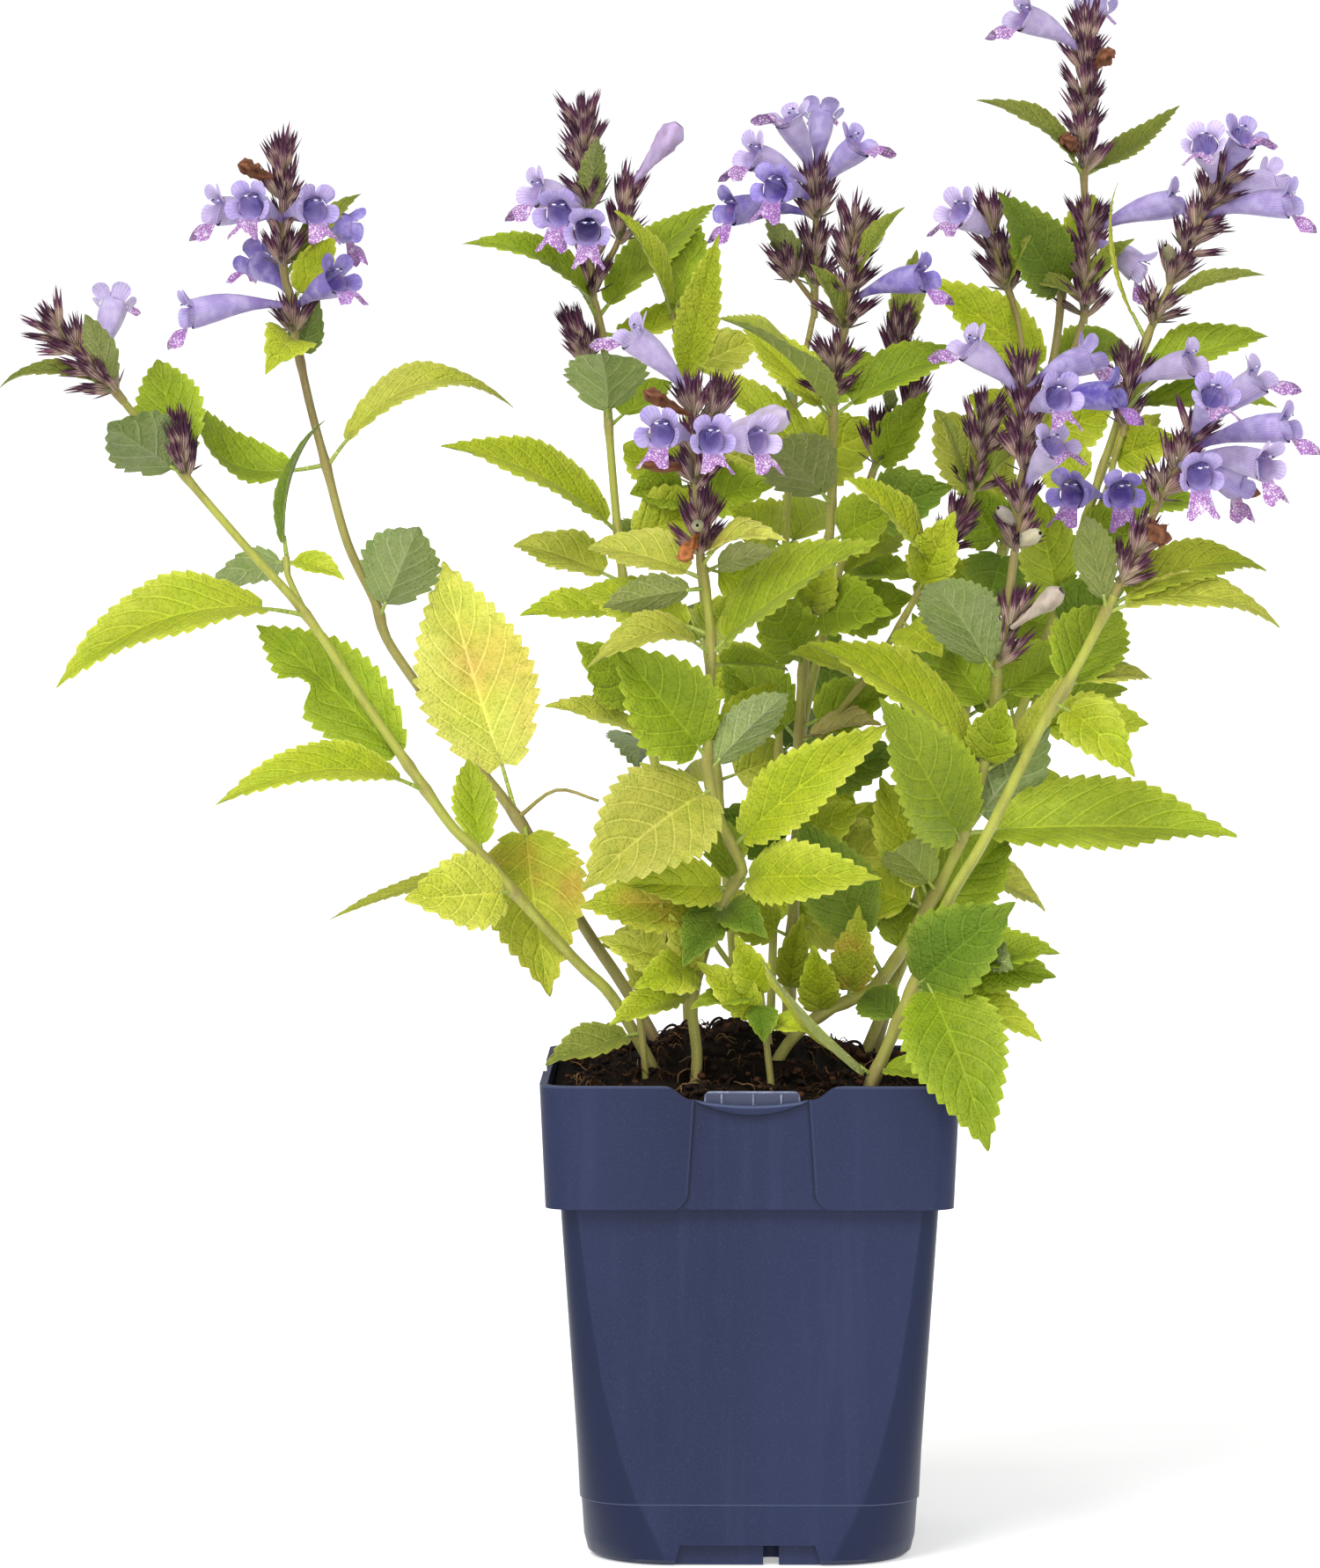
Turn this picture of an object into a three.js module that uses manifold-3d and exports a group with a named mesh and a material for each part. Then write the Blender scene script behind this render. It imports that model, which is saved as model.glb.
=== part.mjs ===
// Catmint (Nepeta) in its square plastic pot. Millimetres, +Z up, origin under the middle of the pot.
// The plant is one solid for each leafy shoot and one for each flower spike, all standing in the
// soil, which fills the pot.
import * as THREE from 'three';
import * as BufferGeometryUtils from 'three/addons/utils/BufferGeometryUtils.js';
import Module from 'manifold-3d';

const wasm = await Module();
wasm.setup();

// ---------- Driving dimensions ----------
const GAP = 0.3; // kept between neighbouring solids
const SMOOTH = 0.12; // how far a solid's surface may move when its smallest facets are merged

// Pot: [height, half width, half width of the flat face between the rounded corners]
const RIM_TOP = 139.7;
const RIM_HALF = 60;
const BAND_BOTTOM = 104.2;
const PARTING_LINE = 18;
const POT_OUTSIDE = [
  [RIM_TOP, RIM_HALF, 53],
  [BAND_BOTTOM, 58.4, 51.5],
  [BAND_BOTTOM, 54.1, 49.2],
  [79, 52.5, 46],
  [54, 50.9, 42],
  [32, 49.6, 36.5],
  [PARTING_LINE, 49.1, 31.5],
  [PARTING_LINE - 0.4, 48.6, 31],
  [6, 48, 25],
  [1.5, 47, 23],
  [0, 45.4, 22],
];
const POT_INSIDE = [
  [8, 45.4, 24],
  [PARTING_LINE, 46.8, 29.5],
  [32, 47.5, 35],
  [54, 48.8, 40.5],
  [79, 50.4, 44.5],
  [105.2, 52, 47.5],
  [107.7, 56, 49.5],
  [RIM_TOP, 57.8, 51.5],
];
const CORNER_POINTS = 5;
const PANEL_DEPTH = 1; // how far the corner panels of the band stand proud
// The bare middle of the band lies between these, at the rim and above the panels' lower corners
const PANEL_LEFT = { top: -15.5, low: -17.8 };
const PANEL_RIGHT = { top: 16.7, low: 19 };
const PANEL_CORNER = 5; // how far the panels' rounded lower corners reach
const BAND_TAPER = (RIM_HALF - POT_OUTSIDE[1][1]) / (RIM_TOP - BAND_BOTTOM); // lean of the band's face
// The front lip: ends of the dip in the rim, drop at each end, sag between, edge's height and faces
const LIP = { left: -22.5, right: 24, drop: 4, sag: 3, edge: 5.2, front: -60.4, back: -57.4 };
const SLOT_TAB = { left: -13, right: 14.5, front: -56.6, back: -55.2, low: 112, high: 138 };
const SLOT_RIBS = [-8, 1, 9];
const TAB_RIB = { half: 0.5, proud: 0.8, short: 0.7 };
// A shallow recess in the middle of each side, wider at its foot: [left, right] at its foot and top
const FOOT_NOTCH = { foot: [-21.8, 20.9], top: [-20, 18.9], inner: 44.8, high: 6 };
// A drain in each recess: a slot in from its wall, and at its end a hole up through the floor
const DRAIN = { left: 4, right: 8.5, radius: 5, reach: 37 };

// Soil
const SOIL_EDGE = 133; // height along the wall of the pot
const SOIL_MOUND = 16; // rise in the middle
const SOIL_BOTTOM = 8 + GAP;
const HOLE_GAP = GAP + 0.1; // between the soil and the pot's wall or a stem

// Leaves, calyces and florets
const BLADE = 0.9; // thickness along the face direction
const UP_BREADTH = 1.45; // how much broader a blade that faces up is than the drawing shows it
const BROADEST = 0.52; // greatest breadth of such a blade as a share of its length
const PETIOLE = 0.8; // half width of a leaf stalk
const ROOT_OFFSET = 0.6; // from the stalk's axis to where what it carries begins
const FOLD = 0.35; // rise of a blade's edge for each unit of width
const RIB_SINK = 0.25; // how far the rib lies under the drawn line, as a share of width times FOLD
const TOOTH_CUT = 0.16; // share of the half width cut away between two teeth
const CALYX_LENGTH = 10.5;
const CALYCES_IN_TIER = 5;
const NOTCH_SHARE = 0.55; // how far out two neighbouring calyces part, as a share of their length
const TIER_STEP = 8;
const CORE_RADIUS = 2.6; // of the middle of a whorl
const THROAT = 3.6; // radius of a floret's mouth
const PETAL = 0.75;

const COLORS = {
  pot: 0x343e64,
  soil: 0x2b1d16,
  shoot: 0x8fae36,
  spike: 0x4b3348,
};

// ---------- Front drawing ----------
// The plant is laid out on its front elevation: x and z are read in the plane of the pot's front
// face by a viewer standing in front, and y is the true depth. What lies further back looks smaller.
const VIEW_DISTANCE = 2000; // from the viewer to the pot's front face
const VIEW_HEIGHT = 348; // of the viewer's eye above the drawing's ground line
const GROUND_LINE = 2.2; // height of that line: the pot's foot is further off, so it is seen higher

function at([x, y, z]) {
  const spread = (VIEW_DISTANCE + y + RIM_HALF) / VIEW_DISTANCE;
  const height = VIEW_HEIGHT + (z - VIEW_HEIGHT) * spread;
  return new THREE.Vector3(x * spread, y, height + GROUND_LINE);
}

// Directions that a leaf's upper side may look in
const FACES = {
  up: [0, -0.8, 1],
  front: [0, -1, 0.35],
  away: [0, 1, 0.3],
  left: [-1, -0.5, 0.3],
};

// ---------- Plant ----------
// stalks: [points from the base up, radius at the base, radius at the tip]
// leaves: [start on the stalk, tip, width, face, length of the leaf stalk, arch as share of length]
// whorls: [foot, top, width]; florets: [base, mouth]; buds: [base, tip, radius]
const PLANT = [
  {
    name: 'shoot_left_tall',
    stalks: [
      [[[-14, 11, 126], [-22, 12, 140], [-28, 13, 153], [-37, 14, 168], [-47, 15, 183],
        [-66, 16, 214], [-80, 17, 232], [-93, 18, 250], [-103, 19, 265], [-106, 19, 275],
        [-114, 20, 292], [-120, 21, 314], [-124.5, 21.5, 331], [-128.4, 22, 349]], 1.9, 1.2],
      [[[-66, 16, 214], [-55, 12, 222], [-43, 8, 219]], 0.7, 0.5],
    ],
    leaves: [
      [[-66, 16, 214], [-87, 29, 287], 34, 'front', 16, 0.05],
      [[-64, 16, 213], [-57, -16, 163.5], 33, 'front', 5, 0.12],
      [[-105, 19, 271], [-94, -2, 297], 25, 'away', 4, 0.1],
      [[-120, 21, 314], [-158, 2, 335], 20, 'up', 8, -0.28],
      [[-120, 21, 314], [-67, 40, 331], 16, 'up', 6, 0.34],
      [[-128.2, 22, 348], [-137, 0, 340], 17, 'front', 2, 0.3],
      [[-127.5, 22, 344], [-122, 4, 362], 11, 'away', 2, 0.15],
    ],
  },
  {
    name: 'spike_left_tall',
    stalks: [[[[-128.7, 22, 350.5], [-129.5, 22, 360], [-132, 23, 371], [-132, 23, 403]], 1.3, 0.9]],
    whorls: [
      [[-129, 22, 352], [-130, 22, 364], 13],
      [[-132, 23, 371], [-132, 23, 407], 14],
    ],
    florets: [
      [[-132, 23, 383], [-150, 14, 386]],
      [[-132, 23, 383], [-141, 1, 387]],
      [[-132, 23, 384], [-123, 1, 386]],
      [[-131, 23, 384], [-114, 14, 381]],
      [[-129, 22, 358], [-117, 8, 366]],
      [[-129, 22, 359], [-158, 14, 357]],
    ],
    buds: [[[-133, 23, 394], [-145, 14, 398], 2.2]],
    leaves: [
      [[-129.5, 22, 360], [-117, 32, 379], 12, 'front', 3, 0.1],
    ],
  },
  {
    name: 'shoot_far_left',
    stalks: [
      [[[-19, -13, 126], [-27, -14, 142], [-39, -15, 163], [-50, -16, 174], [-76, -19, 203],
        [-84, -20, 211], [-92, -22, 222], [-110, -24, 248], [-126, -27, 272], [-142, -29, 290],
        [-160, -32, 311], [-174, -34, 328], [-178, -35, 333]], 1.8, 1.1],
      [[[-126, -27, 272], [-131, -22, 283], [-131.5, -20, 288]], 1, 0.9],
    ],
    whorls: [[[-160, -32, 312], [-162, -37, 327], 8]],
    leaves: [
      [[-160, -32, 311], [-182, -50, 326], 23, 'away', 4, 0.1],
      [[-160, -32, 311], [-168, -8, 344], 21, 'front', 4, 0.12],
      [[-126, -27, 272], [-197, -48, 252], 20, 'up', 12, 0.2],
      [[-131.5, -20, 287], [-155, -2, 279], 12, 'away', 2, 0.15],
      [[-131.5, -20, 287], [-115, -32, 282], 8, 'up', 2, 0.12],
      [[-131.5, -20, 287], [-121, -4, 327], 10, 'left', 4, 0.14],
      [[-92, -22, 222], [-152, -46, 218], 15, 'up', 8, 0.2],
      [[-97, -22, 229], [-140, 4, 269], 27, 'front', 4, 0.1],
      [[-67, -18, 193], [-98, -36, 191], 25, 'front', 3, 0.08],
      [[-74, -19, 200], [-120, 0, 185], 6, 'up', 6, 0.04],
      [[-76, -19, 203], [-80, 0, 231], 14, 'front', 3, 0.1],
    ],
  },
  {
    name: 'spike_far_left',
    stalks: [[[[-178.7, -35, 333.8], [-184, -36, 340], [-197, -37, 354]], 1.2, 0.9]],
    whorls: [[[-180, -35, 335.5], [-202, -37, 358], 16]],
    florets: [[[-184, -36, 341], [-180, -20, 359]]],
    leaves: [
      [[-180, -35, 335.5], [-188, -52, 357], 10, 'away', 2, 0.08],
      [[-181, -35, 336.5], [-213, -26, 336], 6, 'up', 4, 0.2],
    ],
  },
  {
    name: 'shoot_back_left',
    stalks: [
      [[[-14, 29, 126], [-17, 30, 150], [-20, 31, 195], [-28, 33, 235], [-34, 35, 270],
        [-37, 36, 291], [-40, 37, 325], [-41, 38, 345], [-44, 38, 360.5]], 1.6, 1.1],
      [[[-40.6, 37.5, 335], [-46, 34, 345]], 0.8, 0.8],
    ],
    whorls: [[[-46, 34, 344], [-51, 31, 358], 8]],
    leaves: [
      [[-43, 38, 356], [-81, 22, 377], 13, 'up', 5, 0.2],
      [[-43, 38, 356], [-10, 52, 388], 13, 'up', 5, 0.08],
      [[-40, 37, 327], [-42, 10, 346], 26, 'away', 3, 0.12],
      [[-37, 36, 295], [-87, 12, 320], 17, 'up', 5, 0.12],
      [[-36, 35, 281], [-67, 46, 292], 20, 'up', 6, 0.1],
      [[-35, 35, 273], [-65, 22, 272], 17, 'up', 5, 0.08],
      [[-29, 33, 237], [-58, 18, 246], 10, 'up', 4, 0.1],
      [[-37, 36, 291], [-20, 78, 286], 19, 'up', 5, 0.15],
      [[-28, 33, 235], [-32, 80, 228], 22, 'up', 6, 0.15],
    ],
  },
  {
    name: 'spike_back_left',
    stalks: [
      [[[-44.3, 38, 361.3], [-45.5, 38, 378], [-46, 38, 388], [-48, 38, 412]], 1.2, 0.9],
      [[[-44.5, 38, 364], [-37, 42, 378], [-34, 43, 392]], 1, 0.8],
    ],
    whorls: [
      [[-44.5, 38, 363], [-45.5, 38, 380], 15],
      [[-46, 38, 387], [-48, 38, 418], 15],
      [[-37, 42, 378], [-33, 43, 396], 11],
    ],
    florets: [
      [[-46, 38, 388], [-60, 30, 391]],
      [[-46, 38, 385], [-54, 15, 385]],
      [[-45.5, 38, 382], [-46, 15, 380]],
    ],
    buds: [[[-34, 43, 392], [-20, 40, 410], 3.6]],
    leaves: [[[-45.7, 38, 384], [-43, 22, 407], 9, 'away', 2, 0.08]],
  },
  {
    name: 'shoot_behind',
    stalks: [
      [[[-2, 48, 126], [-4, 49, 160], [-6, 49, 190], [-12, 50, 260], [-16, 51, 310],
        [-19, 51, 340], [-22, 51, 357]], 1.4, 0.9],
    ],
    leaves: [
      [[-22, 51, 356], [-38, 36, 381], 12, 'up', 4, 0.1],
      [[-18.5, 51, 335], [-9, 36, 379], 14, 'front', 4, 0.05],
      [[-12, 50, 262], [-26, 92, 270], 21, 'up', 5, 0.15],
      [[-12, 50, 262], [-4, 26, 278], 18, 'front', 5, 0.12],
      [[-9, 49.5, 225], [-28, 86, 214], 22, 'up', 5, 0.15],
    ],
  },
  {
    name: 'shoot_front',
    stalks: [
      [[[-17, -27, 122], [-15, -28, 145], [-16, -29, 165], [-7, -31, 192], [-2, -32, 199],
        [-9, -35, 215], [-12, -38, 230], [-11, -43, 261], [-12, -45, 275], [-14, -47, 288]],
        1.7, 1.2],
    ],
    leaves: [
      [[-11, -43, 261], [-46, -62, 257], 12, 'up', 5, 0.28],
      [[-11, -43, 261], [36, -68, 293], 25, 'up', 6, 0.1],
      [[-11.5, -44, 266], [-48, -26, 279], 17, 'front', 6, 0.12],
      [[-13, -46, 282], [-46, -28, 291], 14, 'up', 5, 0.1],
      [[-13.8, -47, 286], [10, -64, 298], 11, 'up', 4, 0.22],
      [[-12, -38, 231], [-38, -55, 263], 26, 'front', 4, 0.08],
      [[-12, -37, 227], [11, -58, 250], 15, 'away', 3, 0.15],
      [[-12, -38, 230], [8, -18, 253], 14, 'front', 4, 0.1],
      [[-10, -36, 223], [-47, -60, 194], 32, 'front', 4, 0.16],
      [[-5, -33, 206], [40, -60, 241], 21, 'front', 5, 0.1],
      [[-4, -31, 196], [37, -62, 197], 21, 'front', 6, 0.14],
      [[-6, -31, 194], [-35, -52, 195], 16, 'front', 3, 0.12],
      [[-8, -31, 190], [-19, -50, 172], 14, 'front', 3, 0.1],
      [[-14, -29, 171], [-33, -52, 166], 16, 'front', 3, 0.12],
      [[-16, -29, 164], [-40, -46, 155], 15, 'up', 4, 0.1],
    ],
  },
  {
    name: 'spike_front',
    stalks: [
      [[[-14.1, -47.3, 289], [-14.5, -48, 300], [-15.5, -49, 310], [-16, -49, 333]], 1.3, 0.9],
      [[[-15.5, -49, 318], [-10, -49.5, 329]], 0.8, 0.7],
    ],
    whorls: [
      [[-14.3, -47.5, 290], [-14.7, -48, 307], 17],
      [[-15.5, -49, 309], [-16, -49, 338], 16],
      [[-10.5, -49.5, 328], [-7.5, -50, 339], 8],
    ],
    florets: [
      [[-16, -49, 332], [-33, -56, 350]],
      [[-16, -49, 321], [-25, -71, 323]],
      [[-15.5, -49, 318], [-11, -74, 321]],
      [[-15.5, -49, 319], [2, -70, 321]],
    ],
    buds: [
      [[-15, -49, 322], [11, -56, 328], 4],
      [[-16, -49, 313], [-31, -58, 316], 2],
    ],
  },
  {
    name: 'shoot_thin',
    stalks: [[[[8, -2, 122], [6, -3, 148], [2, -4, 163], [-6, -5, 173], [-13, -6, 183]], 1, 0.8]],
    leaves: [
      [[-12, -6, 182], [-28, 4, 191], 11, 'up', 3, 0.1],
    ],
  },
  {
    name: 'shoot_low_left',
    stalks: [[[[-29, -22, 122], [-30, -23, 146], [-32, -24, 162]], 1.1, 0.9]],
    leaves: [
      [[-31, -23, 153], [-58, -38, 144], 15, 'up', 4, 0.08],
      [[-32, -24, 161], [-25, -40, 190], 12, 'front', 4, 0.06],
    ],
  },
  {
    name: 'shoot_low_front',
    stalks: [[[[8, -31, 122], [5, -32, 148], [3, -33, 164]], 1.1, 0.9]],
    leaves: [
      [[3, -33, 163], [-17, -46, 160], 11, 'up', 2, 0.1],
      [[3, -33, 162], [4, -53, 150], 10, 'front', 2, 0.1],
      [[4, -32.5, 156], [17, -50, 153], 11, 'up', 2, 0.1],
    ],
  },
  {
    name: 'shoot_back_centre',
    stalks: [
      [[[4, 42, 126], [6, 43, 160], [8, 46, 230], [10, 50, 290], [12, 52, 330], [15, 54, 343],
        [18, 56, 357]], 1.4, 0.9],
    ],
    leaves: [
      [[8, 46, 232], [28, 94, 238], 21, 'up', 5, 0.15],
      [[10, 50, 290], [26, 94, 300], 19, 'up', 5, 0.15],
      [[10, 50, 290], [-6, 30, 302], 20, 'front', 5, 0.1],
      [[12, 52, 330], [2, 34, 346], 14, 'up', 4, 0.1],
      [[11, 51, 310], [38, 40, 326], 24, 'front', 5, 0.1],
      [[11, 51, 310], [-12, 40, 320], 22, 'front', 5, 0.1],
    ],
  },
  {
    name: 'spike_back_centre',
    stalks: [
      [[[18.1, 56.1, 358], [18.2, 57, 366], [18.5, 57, 384], [18.5, 58, 398]], 1.1, 0.9],
      [[[18.1, 56.4, 360], [11, 53, 369]], 0.8, 0.7],
    ],
    whorls: [
      [[18.2, 57, 365], [18.4, 57, 382], 14],
      [[18.5, 57, 384], [18.5, 58, 400], 13],
      [[12, 53.5, 367], [8, 52, 377], 9],
    ],
    florets: [
      [[17, 57, 393], [1, 46, 401]],
      [[17, 57, 385], [-5, 44, 386]],
      [[17, 57, 389], [7, 34, 392]],
      [[18, 58, 394], [11, 50, 411]],
      [[19, 58, 395], [20, 54, 412]],
      [[19, 58, 391], [30, 50, 404]],
    ],
  },
  {
    name: 'shoot_centre',
    stalks: [
      [[[9, 10, 124], [11, 10, 160], [13, 10, 200], [14, 9, 235], [15, 7, 255], [18, 5, 280],
        [22, 3, 292], [23, 2, 303], [23.4, 1, 318], [23.5, 0, 332]], 1.9, 1.2],
      [[[14, 9, 236], [17, 13, 250], [24, 20, 280], [28, 23, 292], [35, 26, 313]], 1.4, 1],
      [[[14, 9, 229], [26, 0, 245], [37, -6, 260], [47, -11, 277], [52.5, -13, 287]], 1.3, 1],
    ],
    leaves: [
      [[23.4, 0.5, 328], [-8, -16, 361], 19, 'up', 6, 0.1],
      [[23.4, 0.5, 328], [64, 10, 346], 14, 'up', 6, 0.14],
      [[23.2, 1.5, 311], [-15, 16, 343], 12, 'up', 5, 0.05],
      [[23, 2, 303], [7, -24, 321], 24, 'away', 4, 0.12],
      [[51.5, -12.5, 285], [27, -32, 311], 20, 'up', 5, 0.1],
      [[50, -12, 282], [25, 6, 282], 15, 'up', 5, 0.1],
      [[17, 6, 272], [40, -18, 272], 21, 'front', 5, 0.1],
      [[43, -9, 270], [54, -30, 260], 18, 'front', 4, 0.1],
      [[14, 9, 236], [37, -14, 241], 13, 'up', 4, 0.1],
      [[13, 10, 205], [33, -12, 218], 17, 'front', 4, 0.1],
      [[13, 10, 202], [44, -4, 203], 26, 'front', 6, 0.1],
      [[14, 9, 236], [-8, 16, 259], 22, 'front', 5, 0.1],
      [[30, 24, 298], [57, 12, 308], 22, 'front', 5, 0.1],
    ],
  },
  {
    name: 'spike_centre',
    stalks: [[[[23.5, 0, 332.8], [24.5, 0, 345], [26.5, 0, 352], [29, -1, 370], [30, -1, 384]], 1.3, 0.9]],
    whorls: [
      [[23.6, 0, 334], [24.8, 0, 351], 19],
      [[26.5, 0, 353], [30, -1, 388], 21],
    ],
    florets: [[[29, -1, 361], [48, -10, 367]]],
  },
  {
    name: 'spike_centre_right',
    stalks: [
      [[[35.2, 26, 313.8], [38, 27, 325], [42, 28, 346]], 1.1, 0.8],
      [[[38, 27, 323], [44.5, 25, 329], [46.5, 24, 339]], 0.8, 0.7],
    ],
    whorls: [
      [[35.6, 26, 315], [38, 27, 330], 13],
      [[44.5, 25, 329], [47, 24, 346], 9],
      [[41, 28, 341], [43, 28, 358], 12],
    ],
    leaves: [
      [[41.5, 28, 344], [47, 42, 375], 11, 'front', 4, 0.1],
    ],
  },
  {
    name: 'spike_inner_right',
    stalks: [[[[52.9, -13, 287.8], [60, -14, 300], [63, -15, 308], [67, -16, 329]], 1.2, 0.9]],
    whorls: [
      [[53.6, -13, 289], [62, -14.5, 304], 14],
      [[63, -15, 308], [67.5, -16, 334], 16],
    ],
  },
  {
    name: 'shoot_right',
    stalks: [
      [[[0, -12, 124], [9, -14, 147], [20, -15, 158], [30, -16, 163], [38, -17, 169],
        [50, -19, 188], [60, -21, 208], [66, -23, 228], [69, -25, 241], [70, -27, 256.5]], 1.9, 1.4],
    ],
    leaves: [
      [[70, -27, 254], [51, -52, 281], 23, 'away', 5, 0.15],
      [[66, -23, 228], [17, -54, 264], 20, 'up', 5, 0.1],
      [[60, -21, 207], [37, -48, 248], 29, 'front', 5, 0.06],
      [[66, -23, 227], [97, -44, 266], 14, 'left', 5, -0.08],
      [[62, -21.5, 211], [85, -40, 240], 26, 'away', 5, 0.08],
      [[61, -21, 210], [138, -34, 210], 26, 'up', 9, 0.08],
      [[28, -16, 162], [31, -36, 189], 14, 'front', 4, 0.08],
      [[47, -18.5, 184], [74, -4, 210], 26, 'front', 5, 0.08],
      [[38, -17, 169], [14, -32, 214], 24, 'front', 15, 0.06],
      [[69.5, -26, 248], [92, -8, 262], 19, 'front', 4, 0.1],
    ],
  },
  {
    name: 'spike_right',
    stalks: [
      [[[70.1, -27.1, 257.3], [72, -28, 268], [75, -31, 291], [77, -33, 308], [77.5, -34, 340]],
        1.5, 0.9],
    ],
    whorls: [
      [[70.6, -27.5, 259], [77, -29, 279], 14],
      [[75, -31, 291], [77, -33, 310], 17],
      [[77.2, -33.5, 313], [77.5, -34, 345], 13],
    ],
    florets: [
      [[77, -34, 333], [62, -42, 347]],
      [[77.5, -34, 328], [87, -56, 333]],
      [[78, -34, 329], [102, -40, 334]],
      [[77, -33, 306], [86, -48, 319]],
    ],
    buds: [[[74, -29, 268], [88, -36, 279], 3]],
  },
  {
    name: 'shoot_right_front',
    stalks: [
      [[[28, -40, 122], [34, -41, 137], [43, -43, 158], [49, -44, 172], [56, -46, 190],
        [66, -49, 207], [75, -51, 225], [83, -54, 241], [92, -57, 256], [101, -60, 273.5],
        [103, -61, 277.5]], 1.9, 1.4],
    ],
    leaves: [
      [[101, -60, 273], [95, -78, 300], 13, 'away', 3, 0.12],
      [[101, -60, 273], [150, -72, 274], 12, 'up', 4, 0.2],
      [[101.5, -60, 274], [146, -42, 285], 14, 'up', 5, 0.18],
      [[86, -55, 247], [109, -74, 226], 18, 'front', 7, 0.25],
      [[89, -56, 252], [114, -38, 254], 10, 'up', 5, 0.1],
      [[88, -56, 250], [103, -28, 275], 24, 'front', 4, 0.08],
      [[49, -44, 171], [68, -76, 119.5], 31, 'front', 9, 0.16],
      [[47, -44, 166], [83, -64, 151], 12, 'up', 8, 0.12],
      [[46, -43.5, 165], [75, -66, 190], 28, 'front', 4, 0.1],
      [[53, -45, 182], [75, -68, 171], 13, 'away', 6, 0.1],
      [[49, -44, 171], [88, -58, 176], 17, 'up', 10, 0.08],
      [[35, -41.5, 140], [3, -64, 173], 15, 'left', 3, 0.05],
    ],
  },
  {
    name: 'spike_right_front',
    stalks: [
      [[[103.4, -61.1, 278.3], [110, -63, 292], [118, -66, 308], [128, -68, 327]], 1.4, 0.9],
    ],
    whorls: [
      [[104.6, -61.5, 281], [114, -64, 299], 13],
      [[116, -65.5, 305], [130, -69, 331], 19],
    ],
    florets: [
      [[125, -67, 321], [143, -74, 338]],
      [[124, -67, 320], [131, -88, 333]],
      [[123, -67, 318], [151, -78, 325]],
      [[122, -67, 316], [145, -86, 314]],
      [[121, -66, 314], [127, -88, 311]],
    ],
    buds: [
      [[121, -66.5, 313], [144, -54, 306], 2.2],
    ],
  },
  {
    name: 'shoot_right_tall',
    stalks: [
      [[[29, 29, 124], [36, 32, 150], [50, 38, 200], [62, 43, 250], [74, 48, 300],
        [85, 52, 341], [88.5, 54, 368]], 2, 1.2],
      [[[80, 50, 322], [89, 50, 340], [94, 50, 355.5]], 1.1, 1],
      [[[74, 48, 300], [79, 42, 325], [76, 38, 352], [73.5, 37, 361.5]], 1, 0.8],
    ],
    leaves: [
      [[88, 54, 362], [70, 34, 391], 22, 'front', 3, 0.08],
      [[88, 54, 364], [97, 78, 391], 13, 'front', 4, 0.1],
      [[84.5, 51.5, 339], [50, 28, 367], 21, 'front', 5, 0.08],
      [[84.5, 51.5, 339], [110, 88, 345], 17, 'up', 5, 0.15],
      [[72, 47, 291], [66, 22, 268], 21, 'front', 4, 0.1],
      [[72, 47, 291], [92, 26, 292], 19, 'front', 5, 0.1],
      [[60, 42, 242], [46, 18, 272], 22, 'front', 4, 0.1],
      [[60, 42, 242], [84, 66, 250], 20, 'up', 5, 0.15],
      [[62, 43, 250], [58, 94, 262], 27, 'up', 5, 0.15],
      [[74, 48, 300], [52, 60, 330], 24, 'front', 5, 0.08],
      [[62, 43, 250], [42, 52, 234], 22, 'front', 5, 0.08],
      [[50, 38, 200], [42, 86, 212], 22, 'up', 5, 0.15],
    ],
  },
  {
    name: 'spike_right_tall',
    stalks: [
      [[[94.2, 50, 356.3], [95, 50, 372], [94, 50, 396], [94, 50, 415], [94.5, 50, 438]], 1.2, 0.9],
    ],
    whorls: [
      [[94.3, 50, 357.5], [94.8, 50, 389], 16],
      [[94, 50, 398], [94.5, 50, 443], 14],
    ],
    florets: [
      [[94, 50, 430], [77, 40, 440]],
      [[94.5, 50, 432], [97, 66, 443]],
      [[95, 50, 379], [119, 44, 388]],
      [[95, 50, 378], [109, 36, 375]],
    ],
    leaves: [
      [[94, 50, 396], [64, 38, 417], 9, 'up', 5, 0.16],
      [[94, 50, 396], [121, 62, 421], 8, 'up', 5, -0.04],
    ],
  },
  {
    name: 'spike_right_small',
    stalks: [[[[73.3, 37, 362.4], [70, 36, 371], [67, 36, 386]], 1, 0.8]],
    whorls: [[[72.6, 37, 364], [66, 36, 390], 14]],
    florets: [[[69, 36, 377], [59, 24, 385]]],
  },
  {
    name: 'shoot_far_right',
    stalks: [
      [[[23, 14, 124], [34, 15, 150], [55, 17, 200], [75, 20, 240], [92, 23, 290],
        [105, 26, 330], [113, 28, 352.5]], 1.8, 1.1],
      [[[92, 23, 290], [100, 22, 305], [103, 21, 316], [105.4, 20, 324]], 1, 0.9],
    ],
    florets: [
      [[100, 22, 305], [91, 4, 306]],
      [[101, 22, 308], [105, 3, 306]],
    ],
    leaves: [
      [[108, 27, 338], [146, 14, 351], 18, 'up', 4, 0.1],
      [[105, 26, 330], [149, 38, 331], 11, 'up', 6, 0.1],
      [[99, 24.7, 312], [116, 40, 329], 10, 'up', 6, 0.05],
      [[92, 23, 290], [119, 42, 285], 17, 'up', 5, 0.1],
      [[75, 20, 240], [107, 32, 251], 19, 'up', 6, 0.1],
      [[75, 20, 240], [70, 58, 262], 21, 'up', 5, 0.15],
      [[55, 17, 200], [84, 36, 188], 19, 'up', 6, 0.12],
    ],
  },
  {
    name: 'spike_far_right',
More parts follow.
